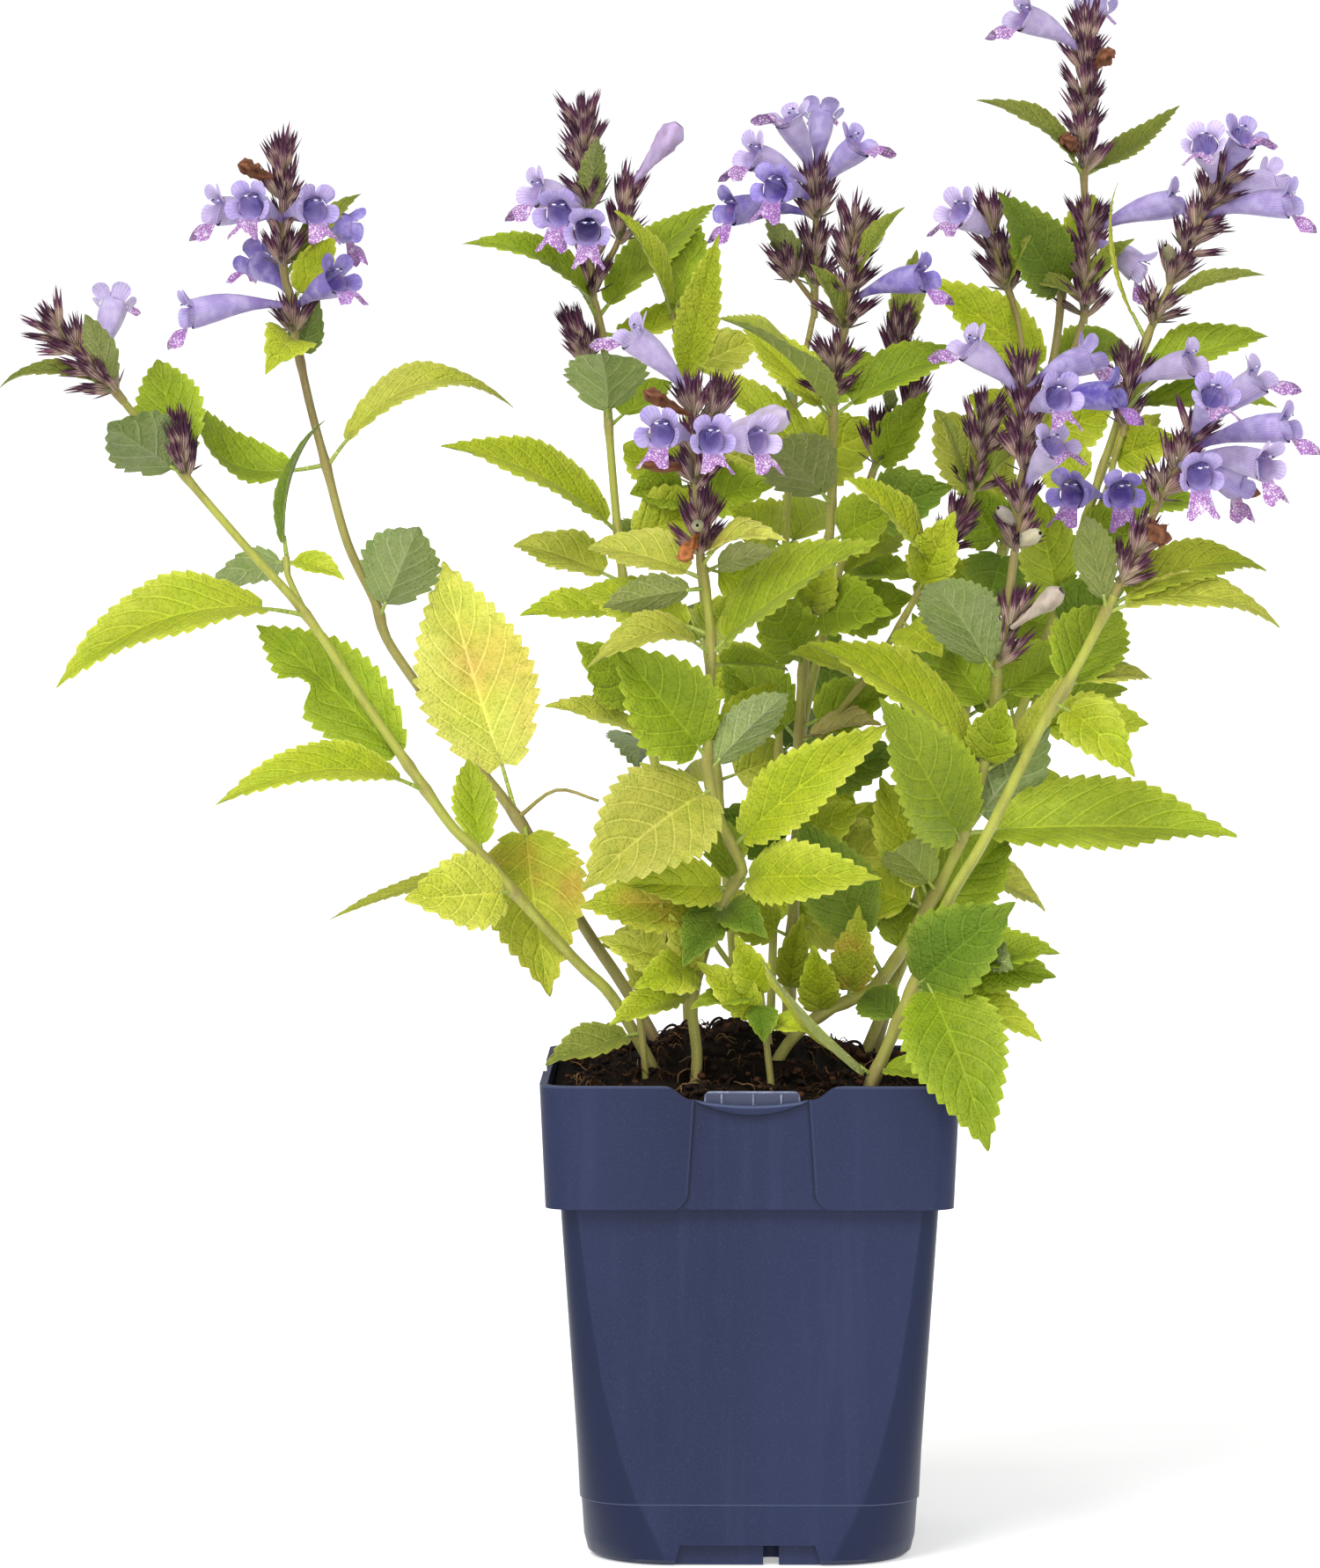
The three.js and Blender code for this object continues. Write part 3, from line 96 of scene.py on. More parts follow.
# Leaf tones: upper side, its yellower edge, underside, and patches where it has them
TONES = {
    'bright': ('98a21a', 'bbc042', '8e9846'),
    'mid': ('8a981a', 'acb43a', '8a9448'),
    'green': ('7a8b16', '9caa2c', '84904a'),
    'dark': ('566c18', '7b8a28', '6e7c3e'),
    'olive': ('6f772a', '8e8e3c', '7f854a'),
    'pale': ('b0b23e', 'c2c058', '9ca05c'),
    'mellow': ('a09f38', 'b6b353', '93975a'),
    'yellow': ('c6c854', 'd2ce64', 'b5af62', 'd2a458'),
    'patched': ('9ba32a', 'b8b340', '939748', 'bd8240'),
    'grey': ('76884a', '919c50', '8a965e'),
    'slate': ('76884a', '919c50', '747f50'),
    'tan': ('bcae6a', 'c3a86e', 'ab9b64'),
}
# Tones drawn in turn for the leaves that name none
COMMON_TONES = ('bright', 'green', 'bright', 'pale', 'green', 'dark', 'bright')

# stalks: (points from the base up, radius at the base, radius at the tip)
# leaves: start on the stalk, then each leaf there as (tip, width, face, length of its own stalk, arch,
#   and its tone if it has its own)
# whorls: (foot, top, width); florets: (base, mouth); buds: (base, tip, radius)
PLANT = {
    'shoot_left_tall': {
        'stalks': [
            ([(-14, 11, 126), (-22, 12, 140), (-28, 13, 153), (-37, 14, 168), (-47, 15, 183), (-66, 16, 214),
              (-80, 17, 232), (-93, 18, 250), (-103, 19, 265), (-106, 19, 275), (-114, 20, 292),
              (-120, 21, 314), (-124.5, 21.5, 331), (-128.4, 22, 349)], 1.9, 1.2),
            ([(-66, 16, 214), (-55, 12, 222), (-43, 8, 219)], 0.7, 0.5)],
        'leaves': [
            ((-66, 16, 214), ((-87, 29, 287), 37, 'front', 16, 0.05, 'yellow')),
            ((-64, 16, 213), ((-57, -16, 163.5), 33, 'front', 5, 0.12, 'patched')),
            ((-105, 19, 271), ((-94, -2, 297), 25, 'away', 4, 0.1, 'grey')),
            ((-120, 21, 314), ((-158, 2, 335), 20, 'up', 8, -0.28, 'green'),
             ((-67, 40, 331), 11, 'up', 6, 0.34, 'pale')),
            ((-128.2, 22, 348), ((-137, 0, 340), 17, 'front', 2, 0.3, 'bright')),
            ((-127.5, 22, 344), ((-122, 4, 362), 11, 'away', 2, 0.15, 'dark'))]},
    'spike_left_tall': {
        'stalks': [
            ([(-128.7, 22, 350.5), (-129.5, 22, 360), (-132, 23, 371), (-132, 23, 403)], 1.3, 0.9)],
        'whorls': [((-129, 22, 352), (-130, 22, 364), 13), ((-132, 23, 371), (-132, 23, 407), 14)],
        'florets': [
            ((-132, 23, 383), (-150, 14, 386)), ((-132, 23, 383), (-141, 1, 387)),
            ((-132, 23, 384), (-123, 1, 386)), ((-131, 23, 384), (-114, 14, 381)),
            ((-129, 22, 358), (-117, 8, 366)), ((-129, 22, 359), (-158, 14, 357)),
            ((-130, 22, 362), (-139, 36, 371))],
        'buds': [((-133, 23, 394), (-145, 14, 398), 2.2)],
        'leaves': [
            ((-129.5, 22, 360), ((-117, 32, 379), 12, 'front', 3, 0.1, 'bright')),
            ((-131.5, 23, 369), ((-110, 36, 391), 7, 'up', 4, 0.1, 'olive'))]},
    'shoot_far_left': {
        'stalks': [
            ([(-19, -13, 126), (-27, -14, 142), (-39, -15, 163), (-50, -16, 174), (-76, -19, 203),
              (-84, -20, 211), (-92, -22, 222), (-110, -24, 248), (-126, -27, 272), (-142, -29, 290),
              (-160, -32, 311), (-174, -34, 328), (-178, -35, 333)], 1.8, 1.1),
            ([(-126, -27, 272), (-131, -22, 283), (-131.5, -20, 288)], 1, 0.9)],
        'whorls': [((-160, -32, 312), (-162, -37, 327), 8)],
        'leaves': [
            ((-160, -32, 311), ((-182, -50, 326), 23, 'away', 4, 0.1, 'slate'),
             ((-168, -8, 344), 21, 'front', 4, 0.12, 'green')),
            ((-126, -27, 272), ((-197, -48, 252), 20, 'up', 12, 0.2, 'bright')),
            ((-131.5, -20, 287), ((-155, -2, 279), 12, 'away', 2, 0.15, 'grey'),
             ((-115, -32, 282), 8, 'up', 2, 0.12), ((-121, -4, 327), 10, 'left', 4, 0.14, 'dark')),
            ((-92, -22, 222), ((-152, -46, 218), 15, 'up', 8, 0.2, 'bright')),
            ((-97, -22, 229), ((-140, 4, 269), 27, 'front', 4, 0.1, 'green')),
            ((-67, -18, 193), ((-98, -36, 191), 25, 'front', 3, 0.08, 'pale')),
            ((-74, -19, 200), ((-120, 0, 185), 6, 'up', 6, 0.04, 'pale')),
            ((-76, -19, 203), ((-80, 0, 231), 14, 'front', 3, 0.1, 'mid'))]},
    'spike_far_left': {
        'stalks': [
            ([(-178.7, -35, 333.8), (-184, -36, 340), (-197, -37, 354)], 1.2, 0.9)],
        'whorls': [((-180, -35, 335.5), (-202, -37, 358), 16)],
        'florets': [((-184, -36, 341), (-180, -20, 359))],
        'leaves': [
            ((-180, -35, 335.5), ((-188, -52, 357), 10, 'away', 2, 0.08, 'olive')),
            ((-181, -35, 336.5), ((-213, -26, 336), 6, 'up', 4, 0.2, 'olive'))]},
    'shoot_back_left': {
        'stalks': [
            ([(-14, 29, 126), (-17, 30, 150), (-20, 31, 195), (-28, 33, 235), (-34, 35, 270), (-37, 36, 291),
              (-40, 37, 325), (-41, 38, 345), (-44, 38, 360.5)], 1.6, 1.1),
            ([(-40.6, 37.5, 335), (-46, 34, 345)], 0.8, 0.8)],
        'whorls': [((-46, 34, 344), (-51, 31, 358), 8)],
        'leaves': [
            ((-43, 38, 356), ((-81, 22, 377), 13, 'up', 5, 0.2, 'green'),
             ((-10, 52, 388), 13, 'up', 5, 0.08, 'green')),
            ((-40, 37, 327), ((-42, 10, 346), 26, 'away', 3, 0.12, 'grey')),
            ((-37, 36, 295), ((-87, 12, 320), 17, 'up', 5, 0.12)),
            ((-36, 35, 281), ((-67, 46, 292), 20, 'up', 6, 0.1, 'pale')),
            ((-35, 35, 273), ((-65, 22, 272), 17, 'up', 5, 0.08)),
            ((-29, 33, 237), ((-58, 18, 246), 10, 'up', 4, 0.1)),
            ((-37, 36, 291), ((-20, 78, 286), 19, 'up', 5, 0.15)),
            ((-28, 33, 235), ((-32, 80, 228), 22, 'up', 6, 0.15)),
            ((-42, 38, 352), ((-13, 56, 366), 10, 'up', 6, -0.15)),
            ((-37, 36, 291), ((-8, 48, 304), 22, 'front', 5, 0.1)),
            ((-40, 37, 325), ((-22, 52, 338), 16, 'up', 5, 0.1)),
            ((-30, 33, 245), ((-49, 20, 264), 20, 'front', 4, 0.1, 'green')),
            ((-18, 31, 178), ((-42, 18, 178), 16, 'front', 4, 0.1, 'pale'))]},
    'spike_back_left': {
        'stalks': [
            ([(-44.3, 38, 361.3), (-45.5, 38, 378), (-46, 38, 388), (-48, 38, 412)], 1.2, 0.9),
            ([(-44.5, 38, 364), (-37, 42, 378), (-34, 43, 392)], 1, 0.8)],
        'whorls': [
            ((-44.5, 38, 363), (-45.5, 38, 380), 15), ((-46, 38, 387), (-48, 38, 418), 15),
            ((-37, 42, 378), (-33, 43, 396), 11)],
        'florets': [
            ((-46, 38, 388), (-60, 30, 391)), ((-46, 38, 385), (-54, 15, 385)),
            ((-45.5, 38, 382), (-46, 15, 380))],
        'buds': [((-34, 43, 392), (-20, 40, 410), 3.6)],
        'leaves': [
            ((-45.7, 38, 384), ((-43, 22, 407), 9, 'away', 2, 0.08, 'olive'))]},
    'shoot_behind': {
        'stalks': [
            ([(-2, 48, 126), (-4, 49, 160), (-6, 49, 190), (-12, 50, 260), (-16, 51, 310), (-19, 51, 340),
              (-22, 51, 357)], 1.4, 0.9)],
        'leaves': [
            ((-22, 51, 356), ((-38, 36, 381), 12, 'up', 4, 0.1)),
            ((-18.5, 51, 335), ((-9, 36, 379), 14, 'front', 4, 0.05)),
            ((-12, 50, 262), ((-26, 92, 270), 21, 'up', 5, 0.15), ((-4, 26, 278), 18, 'front', 5, 0.12)),
            ((-9, 49.5, 225), ((-28, 86, 214), 22, 'up', 5, 0.15)),
            ((-22, 51, 356), ((-14, 66, 382), 11, 'up', 4, 0.1)),
            ((-16, 51, 310), ((-6, 30, 318), 16, 'up', 4, 0.1), ((-36, 60, 320), 20, 'front', 5, 0.1)),
            ((-14, 50, 285), ((8, 60, 278), 22, 'front', 5, 0.1)),
            ((-9, 49.5, 225), ((12, 58, 232), 22, 'front', 5, 0.1, 'pale')),
            ((-7, 49, 195), ((14, 40, 188), 20, 'front', 5, 0.1)),
            ((-19, 51, 340), ((2, 62, 350), 16, 'front', 4, 0.1)),
            ((-16, 51, 308), ((-34, 38, 306), 18, 'front', 4, 0.1, 'green')),
            ((-16, 51, 304), ((7, 38, 309), 18, 'front', 4, 0.1, 'green'))]},
    'shoot_front': {
        'stalks': [
            ([(-17, -27, 122), (-15, -28, 145), (-16, -29, 165), (-7, -31, 192), (-2, -32, 199),
              (-9, -35, 215), (-12, -38, 230), (-11, -43, 261), (-12, -45, 275),
               (-14, -47, 288)], 1.7, 1.2)],
        'leaves': [
            ((-11, -43, 261), ((-46, -62, 257), 12, 'up', 5, 0.28, 'mellow'),
             ((36, -68, 293), 25, 'up', 6, 0.1, 'mid')),
            ((-11.5, -44, 266), ((-48, -26, 279), 17, 'front', 6, 0.12)),
            ((-13, -46, 282), ((-46, -28, 291), 14, 'up', 5, 0.1)),
            ((-13.8, -47, 286), ((10, -64, 298), 11, 'up', 4, 0.22, 'yellow')),
            ((-12, -38, 231), ((-38, -55, 263), 30, 'front', 4, 0.08, 'green')),
            ((-12, -37, 227), ((11, -58, 250), 15, 'away', 3, 0.15, 'grey')),
            ((-12, -38, 230), ((8, -18, 253), 14, 'front', 4, 0.1)),
            ((-10, -36, 223), ((-47, -60, 194), 35, 'front', 4, 0.16, 'mellow')),
            ((-5, -33, 206), ((40, -60, 241), 21, 'front', 5, 0.1, 'bright')),
            ((-4, -31, 196), ((37, -62, 197), 21, 'front', 6, 0.14, 'bright')),
            ((-6, -31, 194), ((-35, -52, 195), 16, 'front', 3, 0.12, 'bright')),
            ((-8, -31, 190), ((-19, -50, 172), 14, 'front', 3, 0.1)),
            ((-14, -29, 171), ((-33, -52, 166), 16, 'front', 3, 0.12)),
            ((-16, -29, 164), ((-40, -46, 155), 15, 'up', 4, 0.1)),
            ((-11, -42, 257), ((11, -22, 256), 10, 'up', 3, 0.1)),
            ((-13, -46, 280), ((-42, -60, 274), 12, 'away', 4, 0.1, 'olive')),
            ((-13.5, -46, 284), ((9, -32, 290), 9, 'away', 6, 0.15)),
            ((-5, -31, 195), ((-9, -8, 214), 14, 'front', 2, 0.1)),
            ((-8, -31, 189), ((5, -50, 180), 13, 'front', 3, 0.15)),
            ((-9, -31, 189), ((-48, -42, 189), 21, 'front', 6, 0.1, 'patched')),
            ((-15, -29, 171), ((-43, -36, 180), 15, 'front', 3, 0.1, 'pale')),
            ((-16, -29, 166), ((-23, -42, 187), 11, 'front', 3, 0.1, 'pale'))]},
    'spike_front': {
        'stalks': [
            ([(-14.1, -47.3, 289), (-14.5, -48, 300), (-15.5, -49, 310), (-16, -49, 333)], 1.3, 0.9),
            ([(-15.5, -49, 318), (-10, -49.5, 329)], 0.8, 0.7)],
        'whorls': [
            ((-14.3, -47.5, 290), (-14.7, -48, 307), 17), ((-15.5, -49, 309), (-16, -49, 338), 16),
            ((-10.5, -49.5, 328), (-7.5, -50, 339), 8)],
        'florets': [
            ((-16, -49, 332), (-33, -56, 350)), ((-16, -49, 321), (-25, -71, 323)),
            ((-15.5, -49, 318), (-11, -74, 321)), ((-15.5, -49, 319), (2, -70, 321))],
        'buds': [
            ((-15, -49, 322), (11, -56, 328), 4), ((-16, -49, 313), (-31, -58, 316), 2),
            ((-17, -49, 328), (-30, -56, 335), 2), ((-14.5, -48, 295), (-19, -58, 287), 2.2),
            ((-14.6, -48, 297), (-15, -58, 297), 1.8)]},
    'shoot_thin': {
        'stalks': [
            ([(8, -2, 122), (6, -3, 148), (2, -4, 163), (-6, -5, 173), (-13, -6, 183)], 1, 0.8)],
        'leaves': [
            ((-12, -6, 182), ((-28, 4, 191), 11, 'up', 3, 0.1), ((-2, 4, 194), 10, 'up', 3, 0.1))]},
    'shoot_low_left': {
        'stalks': [
            ([(-29, -22, 122), (-30, -23, 146), (-32, -24, 162)], 1.1, 0.9)],
        'leaves': [
            ((-31, -23, 153), ((-58, -38, 144), 15, 'up', 4, 0.08, 'olive')),
            ((-32, -24, 161), ((-25, -40, 190), 12, 'front', 4, 0.06, 'pale'))]},
    'shoot_low_front': {
        'stalks': [
            ([(8, -31, 122), (5, -32, 148), (3, -33, 164)], 1.1, 0.9)],
        'leaves': [
            ((3, -33, 163), ((-17, -46, 160), 11, 'up', 2, 0.1)),
            ((3, -33, 162), ((4, -53, 150), 10, 'front', 2, 0.1)),
            ((4, -32.5, 156), ((17, -50, 153), 11, 'up', 2, 0.1)),
            ((4, -32.5, 157), ((-15, -44, 173), 13, 'front', 3, 0.1, 'bright')),
            ((3, -33, 162), ((-4, -46, 181), 12, 'front', 2, 0.1, 'bright'))]},
    'shoot_back_centre': {
        'stalks': [
            ([(4, 42, 126), (6, 43, 160), (8, 46, 230), (10, 50, 290), (12, 52, 330), (15, 54, 343),
              (18, 56, 357)], 1.4, 0.9)],
        'leaves': [
            ((8, 46, 232), ((28, 94, 238), 21, 'up', 5, 0.15)),
            ((10, 50, 290), ((26, 94, 300), 19, 'up', 5, 0.15), ((-6, 30, 302), 20, 'front', 5, 0.1)),
            ((12, 52, 330), ((2, 34, 346), 14, 'up', 4, 0.1)),
            ((11, 51, 310), ((38, 40, 326), 24, 'front', 5, 0.1), ((-12, 40, 320), 22, 'front', 5, 0.1)),
            ((12, 52, 330), ((34, 64, 346), 20, 'front', 5, 0.1)),
            ((9, 48, 260), ((30, 56, 252), 24, 'front', 5, 0.1), ((-12, 38, 248), 22, 'front', 5, 0.1)),
            ((8, 46, 232), ((30, 40, 216), 24, 'front', 5, 0.1)),
            ((7, 44, 190), ((28, 50, 182), 22, 'front', 5, 0.1, 'bright'))]},
    'spike_back_centre': {
        'stalks': [
            ([(18.1, 56.1, 358), (18.2, 57, 366), (18.5, 57, 384), (18.5, 58, 398)], 1.1, 0.9),
            ([(18.1, 56.4, 360), (11, 53, 369)], 0.8, 0.7)],
        'whorls': [
            ((18.2, 57, 365), (18.4, 57, 382), 14), ((18.5, 57, 384), (18.5, 58, 400), 13),
            ((12, 53.5, 367), (8, 52, 377), 9)],
        'florets': [
            ((17, 57, 393), (1, 46, 401)), ((17, 57, 385), (-5, 44, 386)), ((17, 57, 389), (7, 34, 392)),
            ((18, 58, 394), (11, 50, 411)), ((19, 58, 395), (20, 54, 412)), ((19, 58, 391), (30, 50, 404))],
        'leaves': [
            ((18.2, 57, 364), ((4, 42, 385), 9, 'away', 4, 0.1, 'olive'))]},
    'shoot_centre': {
        'stalks': [
            ([(9, 10, 124), (11, 10, 160), (13, 10, 200), (14, 9, 235), (15, 7, 255), (18, 5, 280),
              (22, 3, 292), (23, 2, 303), (23.4, 1, 318), (23.5, 0, 332)], 1.9, 1.2),
            ([(14, 9, 236), (17, 13, 250), (24, 20, 280), (28, 23, 292), (35, 26, 313)], 1.4, 1),
            ([(14, 9, 229), (26, 0, 245), (37, -6, 260), (47, -11, 277), (52.5, -13, 287)], 1.3, 1)],
        'leaves': [
            ((23.4, 0.5, 328), ((-8, -16, 361), 19, 'up', 6, 0.1), ((64, 10, 346), 14, 'up', 6, 0.14)),
            ((23.2, 1.5, 311), ((-15, 16, 343), 12, 'up', 5, 0.05)),
            ((23, 2, 303), ((7, -24, 321), 24, 'away', 4, 0.12, 'olive')),
            ((51.5, -12.5, 285), ((27, -32, 311), 20, 'up', 5, 0.1, 'bright')),
            ((50, -12, 282), ((25, 6, 282), 15, 'up', 5, 0.1, 'green')),
            ((17, 6, 272), ((40, -18, 272), 21, 'front', 5, 0.1, 'green')),
            ((43, -9, 270), ((54, -30, 260), 18, 'front', 4, 0.1)),
            ((14, 9, 236), ((37, -14, 241), 13, 'up', 4, 0.1, 'tan')),
            ((13, 10, 205), ((33, -12, 218), 17, 'front', 4, 0.1)),
            ((13, 10, 202), ((44, -4, 203), 26, 'front', 6, 0.1)),
            ((14, 9, 236), ((-8, 16, 259), 22, 'front', 5, 0.1)),
            ((30, 24, 298), ((57, 12, 308), 22, 'front', 5, 0.1)),
            ((23.4, 0.5, 327), ((-2, 20, 353), 13, 'up', 6, 0.1)),
            ((31, -3, 252), ((11, -22, 261), 12, 'up', 4, 0.1)),
            ((11, 10, 164), ((15, -10, 187), 11, 'front', 3, 0.08, 'bright')),
            ((24, 20, 280), ((44, 44, 296), 17, 'up', 5, 0.12)),
            ((22, 3, 292), ((42, -12, 302), 20, 'front', 5, 0.1, 'mid')),
            ((18, 5, 280), ((2, -12, 288), 18, 'front', 4, 0.1)),
            ((13, 10, 205), ((-10, 0, 216), 20, 'front', 5, 0.1)),
            ((12, 10, 182), ((34, 2, 186), 20, 'front', 5, 0.1, 'pale')),
            ((12, 10, 180), ((-10, 4, 190), 18, 'front', 5, 0.1)),
            ((15, 7, 256), ((3, -8, 280), 20, 'front', 4, 0.1, 'green')),
            ((17, 6, 272), ((23, -10, 291), 14, 'front', 3, 0.1)),
            ((22, 17, 270), ((46, 8, 277), 20, 'front', 5, 0.1, 'green')),
            ((14, 9, 240), ((40, 2, 250), 18, 'front', 5, 0.1, 'green')),
            ((14, 9, 225), ((43, 0, 233), 20, 'front', 6, 0.1, 'dark')),
            ((35, 26, 311), ((50, 18, 335), 14, 'front', 4, 0.1, 'green')),
            ((47, -11, 278), ((58, -22, 301), 16, 'front', 4, 0.1, 'bright'))]},
    'spike_centre': {
        'stalks': [
            ([(23.5, 0, 332.8), (24.5, 0, 345), (26.5, 0, 352), (29, -1, 370), (30, -1, 384)], 1.3, 0.9)],
        'whorls': [((23.6, 0, 334), (24.8, 0, 351), 19), ((26.5, 0, 353), (30, -1, 388), 21)],
        'florets': [((29, -1, 361), (48, -10, 367))],
        'leaves': [
            ((26, 0, 351), ((17, -12, 371), 8, 'up', 2, 0.1, 'olive')),
            ((29, -1, 367), ((43, -10, 387), 7, 'up', 2, 0.1, 'olive'))]},
    'spike_centre_right': {
        'stalks': [
            ([(35.2, 26, 313.8), (38, 27, 325), (42, 28, 346)], 1.1, 0.8),
            ([(38, 27, 323), (44.5, 25, 329), (46.5, 24, 339)], 0.8, 0.7)],
        'whorls': [
            ((35.6, 26, 315), (38, 27, 330), 13), ((44.5, 25, 329), (47, 24, 346), 9),
            ((41, 28, 341), (43, 28, 358), 12)],
        'leaves': [
            ((41.5, 28, 344), ((47, 42, 375), 11, 'front', 4, 0.1, 'olive')),
            ((38.5, 27, 328), ((35, 12, 342), 7, 'up', 2, 0.1, 'olive'))]},
    'spike_inner_right': {
        'stalks': [
            ([(52.9, -13, 287.8), (60, -14, 300), (63, -15, 308), (67, -16, 329)], 1.2, 0.9)],
        'whorls': [((53.6, -13, 289), (62, -14.5, 304), 14), ((63, -15, 308), (67.5, -16, 334), 16)],
        'leaves': [
            ((62.5, -14.7, 306), ((53, -26, 330), 7, 'up', 2, 0.1, 'olive'),
             ((76, -24, 319), 8, 'up', 2, 0.1, 'olive'))]},
    'shoot_right': {
        'stalks': [
            ([(0, -12, 124), (9, -14, 147), (20, -15, 158), (30, -16, 163), (38, -17, 169), (50, -19, 188),
              (60, -21, 208), (66, -23, 228), (69, -25, 241), (70, -27, 256.5)], 1.9, 1.4)],
        'leaves': [
            ((70, -27, 254), ((51, -52, 281), 23, 'away', 5, 0.15, 'grey')),
            ((66, -23, 228), ((17, -54, 264), 20, 'up', 5, 0.1, 'bright')),
            ((60, -21, 207), ((37, -48, 248), 29, 'front', 5, 0.06, 'green')),
            ((66, -23, 227), ((97, -44, 266), 14, 'left', 5, -0.08, 'pale')),
            ((62, -21.5, 211), ((85, -40, 240), 26, 'away', 5, 0.08, 'grey')),
            ((61, -21, 210), ((138, -34, 210), 26, 'up', 9, 0.08, 'mid')),
            ((28, -16, 162), ((31, -36, 189), 14, 'front', 4, 0.08, 'patched')),
            ((47, -18.5, 184), ((74, -4, 210), 26, 'front', 5, 0.08)),
            ((38, -17, 169), ((14, -32, 214), 24, 'front', 15, 0.06, 'dark')),
            ((69.5, -26, 248), ((92, -8, 262), 19, 'front', 4, 0.1, 'green')),
            ((53, -20, 194), ((40, -46, 205), 17, 'away', 3, 0.15)),
            ((69, -25, 243), ((56, -8, 262), 22, 'front', 5, 0.1)),
            ((50, -19, 188), ((30, -8, 196), 20, 'front', 5, 0.1)),
            ((20, -15, 158), ((18, -32, 178), 13, 'front', 2, 0.1, 'bright')),
            ((42, -17, 174), ((44, -6, 193), 16, 'front', 2, 0.1, 'green')),
            ((51, -19, 190), ((37, -8, 226), 19, 'front', 5, 0.1, 'bright')),
            ((66, -23, 228), ((72, -34, 248), 16, 'front', 3, 0.1, 'mid'))]},
    'spike_right': {
        'stalks': [
            ([(70.1, -27.1, 257.3), (72, -28, 268), (75, -31, 291), (77, -33, 308),
              (77.5, -34, 340)], 1.5, 0.9)],
        'whorls': [
            ((70.6, -27.5, 259), (77, -29, 279), 14), ((75, -31, 291), (77, -33, 310), 17),
            ((77.2, -33.5, 313), (77.5, -34, 345), 13)],
        'florets': [
            ((77, -34, 333), (62, -42, 347)), ((77.5, -34, 328), (87, -56, 333)),
            ((78, -34, 329), (102, -40, 334)), ((77, -33, 306), (86, -48, 319)),
            ((78, -34, 336), (95, -26, 344))],
        'buds': [
            ((74, -29, 268), (88, -36, 279), 3), ((75, -31, 297), (70, -42, 302), 1.9),
            ((75, -31, 292), (82, -43, 295), 2.3)]},
    'shoot_right_front': {
        'stalks': [
            ([(28, -40, 122), (34, -41, 137), (43, -43, 158), (49, -44, 172), (56, -46, 190), (66, -49, 207),
              (75, -51, 225), (83, -54, 241), (92, -57, 256), (101, -60, 273.5),
               (103, -61, 277.5)], 1.9, 1.4)],
        'leaves': [
            ((101, -60, 273), ((95, -78, 300), 13, 'away', 3, 0.12, 'olive'),
             ((150, -72, 274), 12, 'up', 4, 0.2, 'pale')),
            ((101.5, -60, 274), ((146, -42, 285), 14, 'up', 5, 0.18, 'bright')),
            ((86, -55, 247), ((109, -74, 226), 18, 'front', 7, 0.25, 'bright')),
            ((89, -56, 252), ((114, -38, 254), 10, 'up', 5, 0.1)),
            ((88, -56, 250), ((103, -28, 275), 24, 'front', 4, 0.08)),
            ((49, -44, 171), ((68, -76, 119.5), 31, 'front', 9, 0.16, 'green')),
            ((47, -44, 166), ((83, -64, 151), 12, 'up', 8, 0.12)),
            ((46, -43.5, 165), ((75, -66, 190), 28, 'front', 4, 0.1, 'dark')),
            ((53, -45, 182), ((75, -68, 171), 13, 'away', 6, 0.1, 'grey')),
            ((49, -44, 171), ((88, -58, 176), 17, 'up', 10, 0.08, 'green')),
            ((35, -41.5, 140), ((3, -64, 173), 15, 'left', 3, 0.05, 'pale')),
            ((36, -41.5, 142), ((56, -54, 140), 9, 'up', 2, 0.1)),
            ((42, -43, 156), ((32, -24, 164), 14, 'front', 2, 0.1)),
            ((50, -44.5, 174), ((87, -50, 169), 18, 'front', 7, 0.1, 'green'))]},
    'spike_right_front': {
        'stalks': [
            ([(103.4, -61.1, 278.3), (110, -63, 292), (118, -66, 308), (128, -68, 327)], 1.4, 0.9)],
        'whorls': [((104.6, -61.5, 281), (114, -64, 299), 13), ((116, -65.5, 305), (130, -69, 331), 19)],
        'florets': [
            ((125, -67, 321), (143, -74, 338)), ((124, -67, 320), (131, -88, 333)),
            ((123, -67, 318), (151, -78, 325)), ((122, -67, 316), (145, -86, 314)),
            ((121, -66, 314), (127, -88, 311)), ((122, -67, 315), (137, -58, 309))],
        'buds': [((121, -66.5, 313), (144, -54, 306), 2.2), ((113, -64.5, 299), (118, -78, 292), 2.6)]},
    'shoot_right_tall': {
        'stalks': [
            ([(29, 29, 124), (36, 32, 150), (50, 38, 200), (62, 43, 250), (74, 48, 300), (85, 52, 341),
              (88.5, 54, 368)], 2, 1.2),
            ([(80, 50, 322), (89, 50, 340), (94, 50, 355.5)], 1.1, 1),
            ([(74, 48, 300), (79, 42, 325), (76, 38, 352), (73.5, 37, 361.5)], 1, 0.8)],
        'leaves': [
            ((88, 54, 362), ((70, 34, 391), 22, 'front', 3, 0.08, 'dark')),
            ((88, 54, 364), ((97, 78, 391), 13, 'front', 4, 0.1)),
            ((84.5, 51.5, 339), ((50, 28, 367), 21, 'front', 5, 0.08, 'bright'),
             ((110, 88, 345), 17, 'up', 5, 0.15)),
            ((72, 47, 291), ((66, 22, 268), 21, 'front', 4, 0.1),
             ((92, 26, 292), 19, 'front', 5, 0.1, 'green')),
            ((60, 42, 242), ((46, 18, 272), 22, 'front', 4, 0.1, 'green'),
             ((84, 66, 250), 20, 'up', 5, 0.15)), ((62, 43, 250), ((58, 94, 262), 27, 'up', 5, 0.15)),
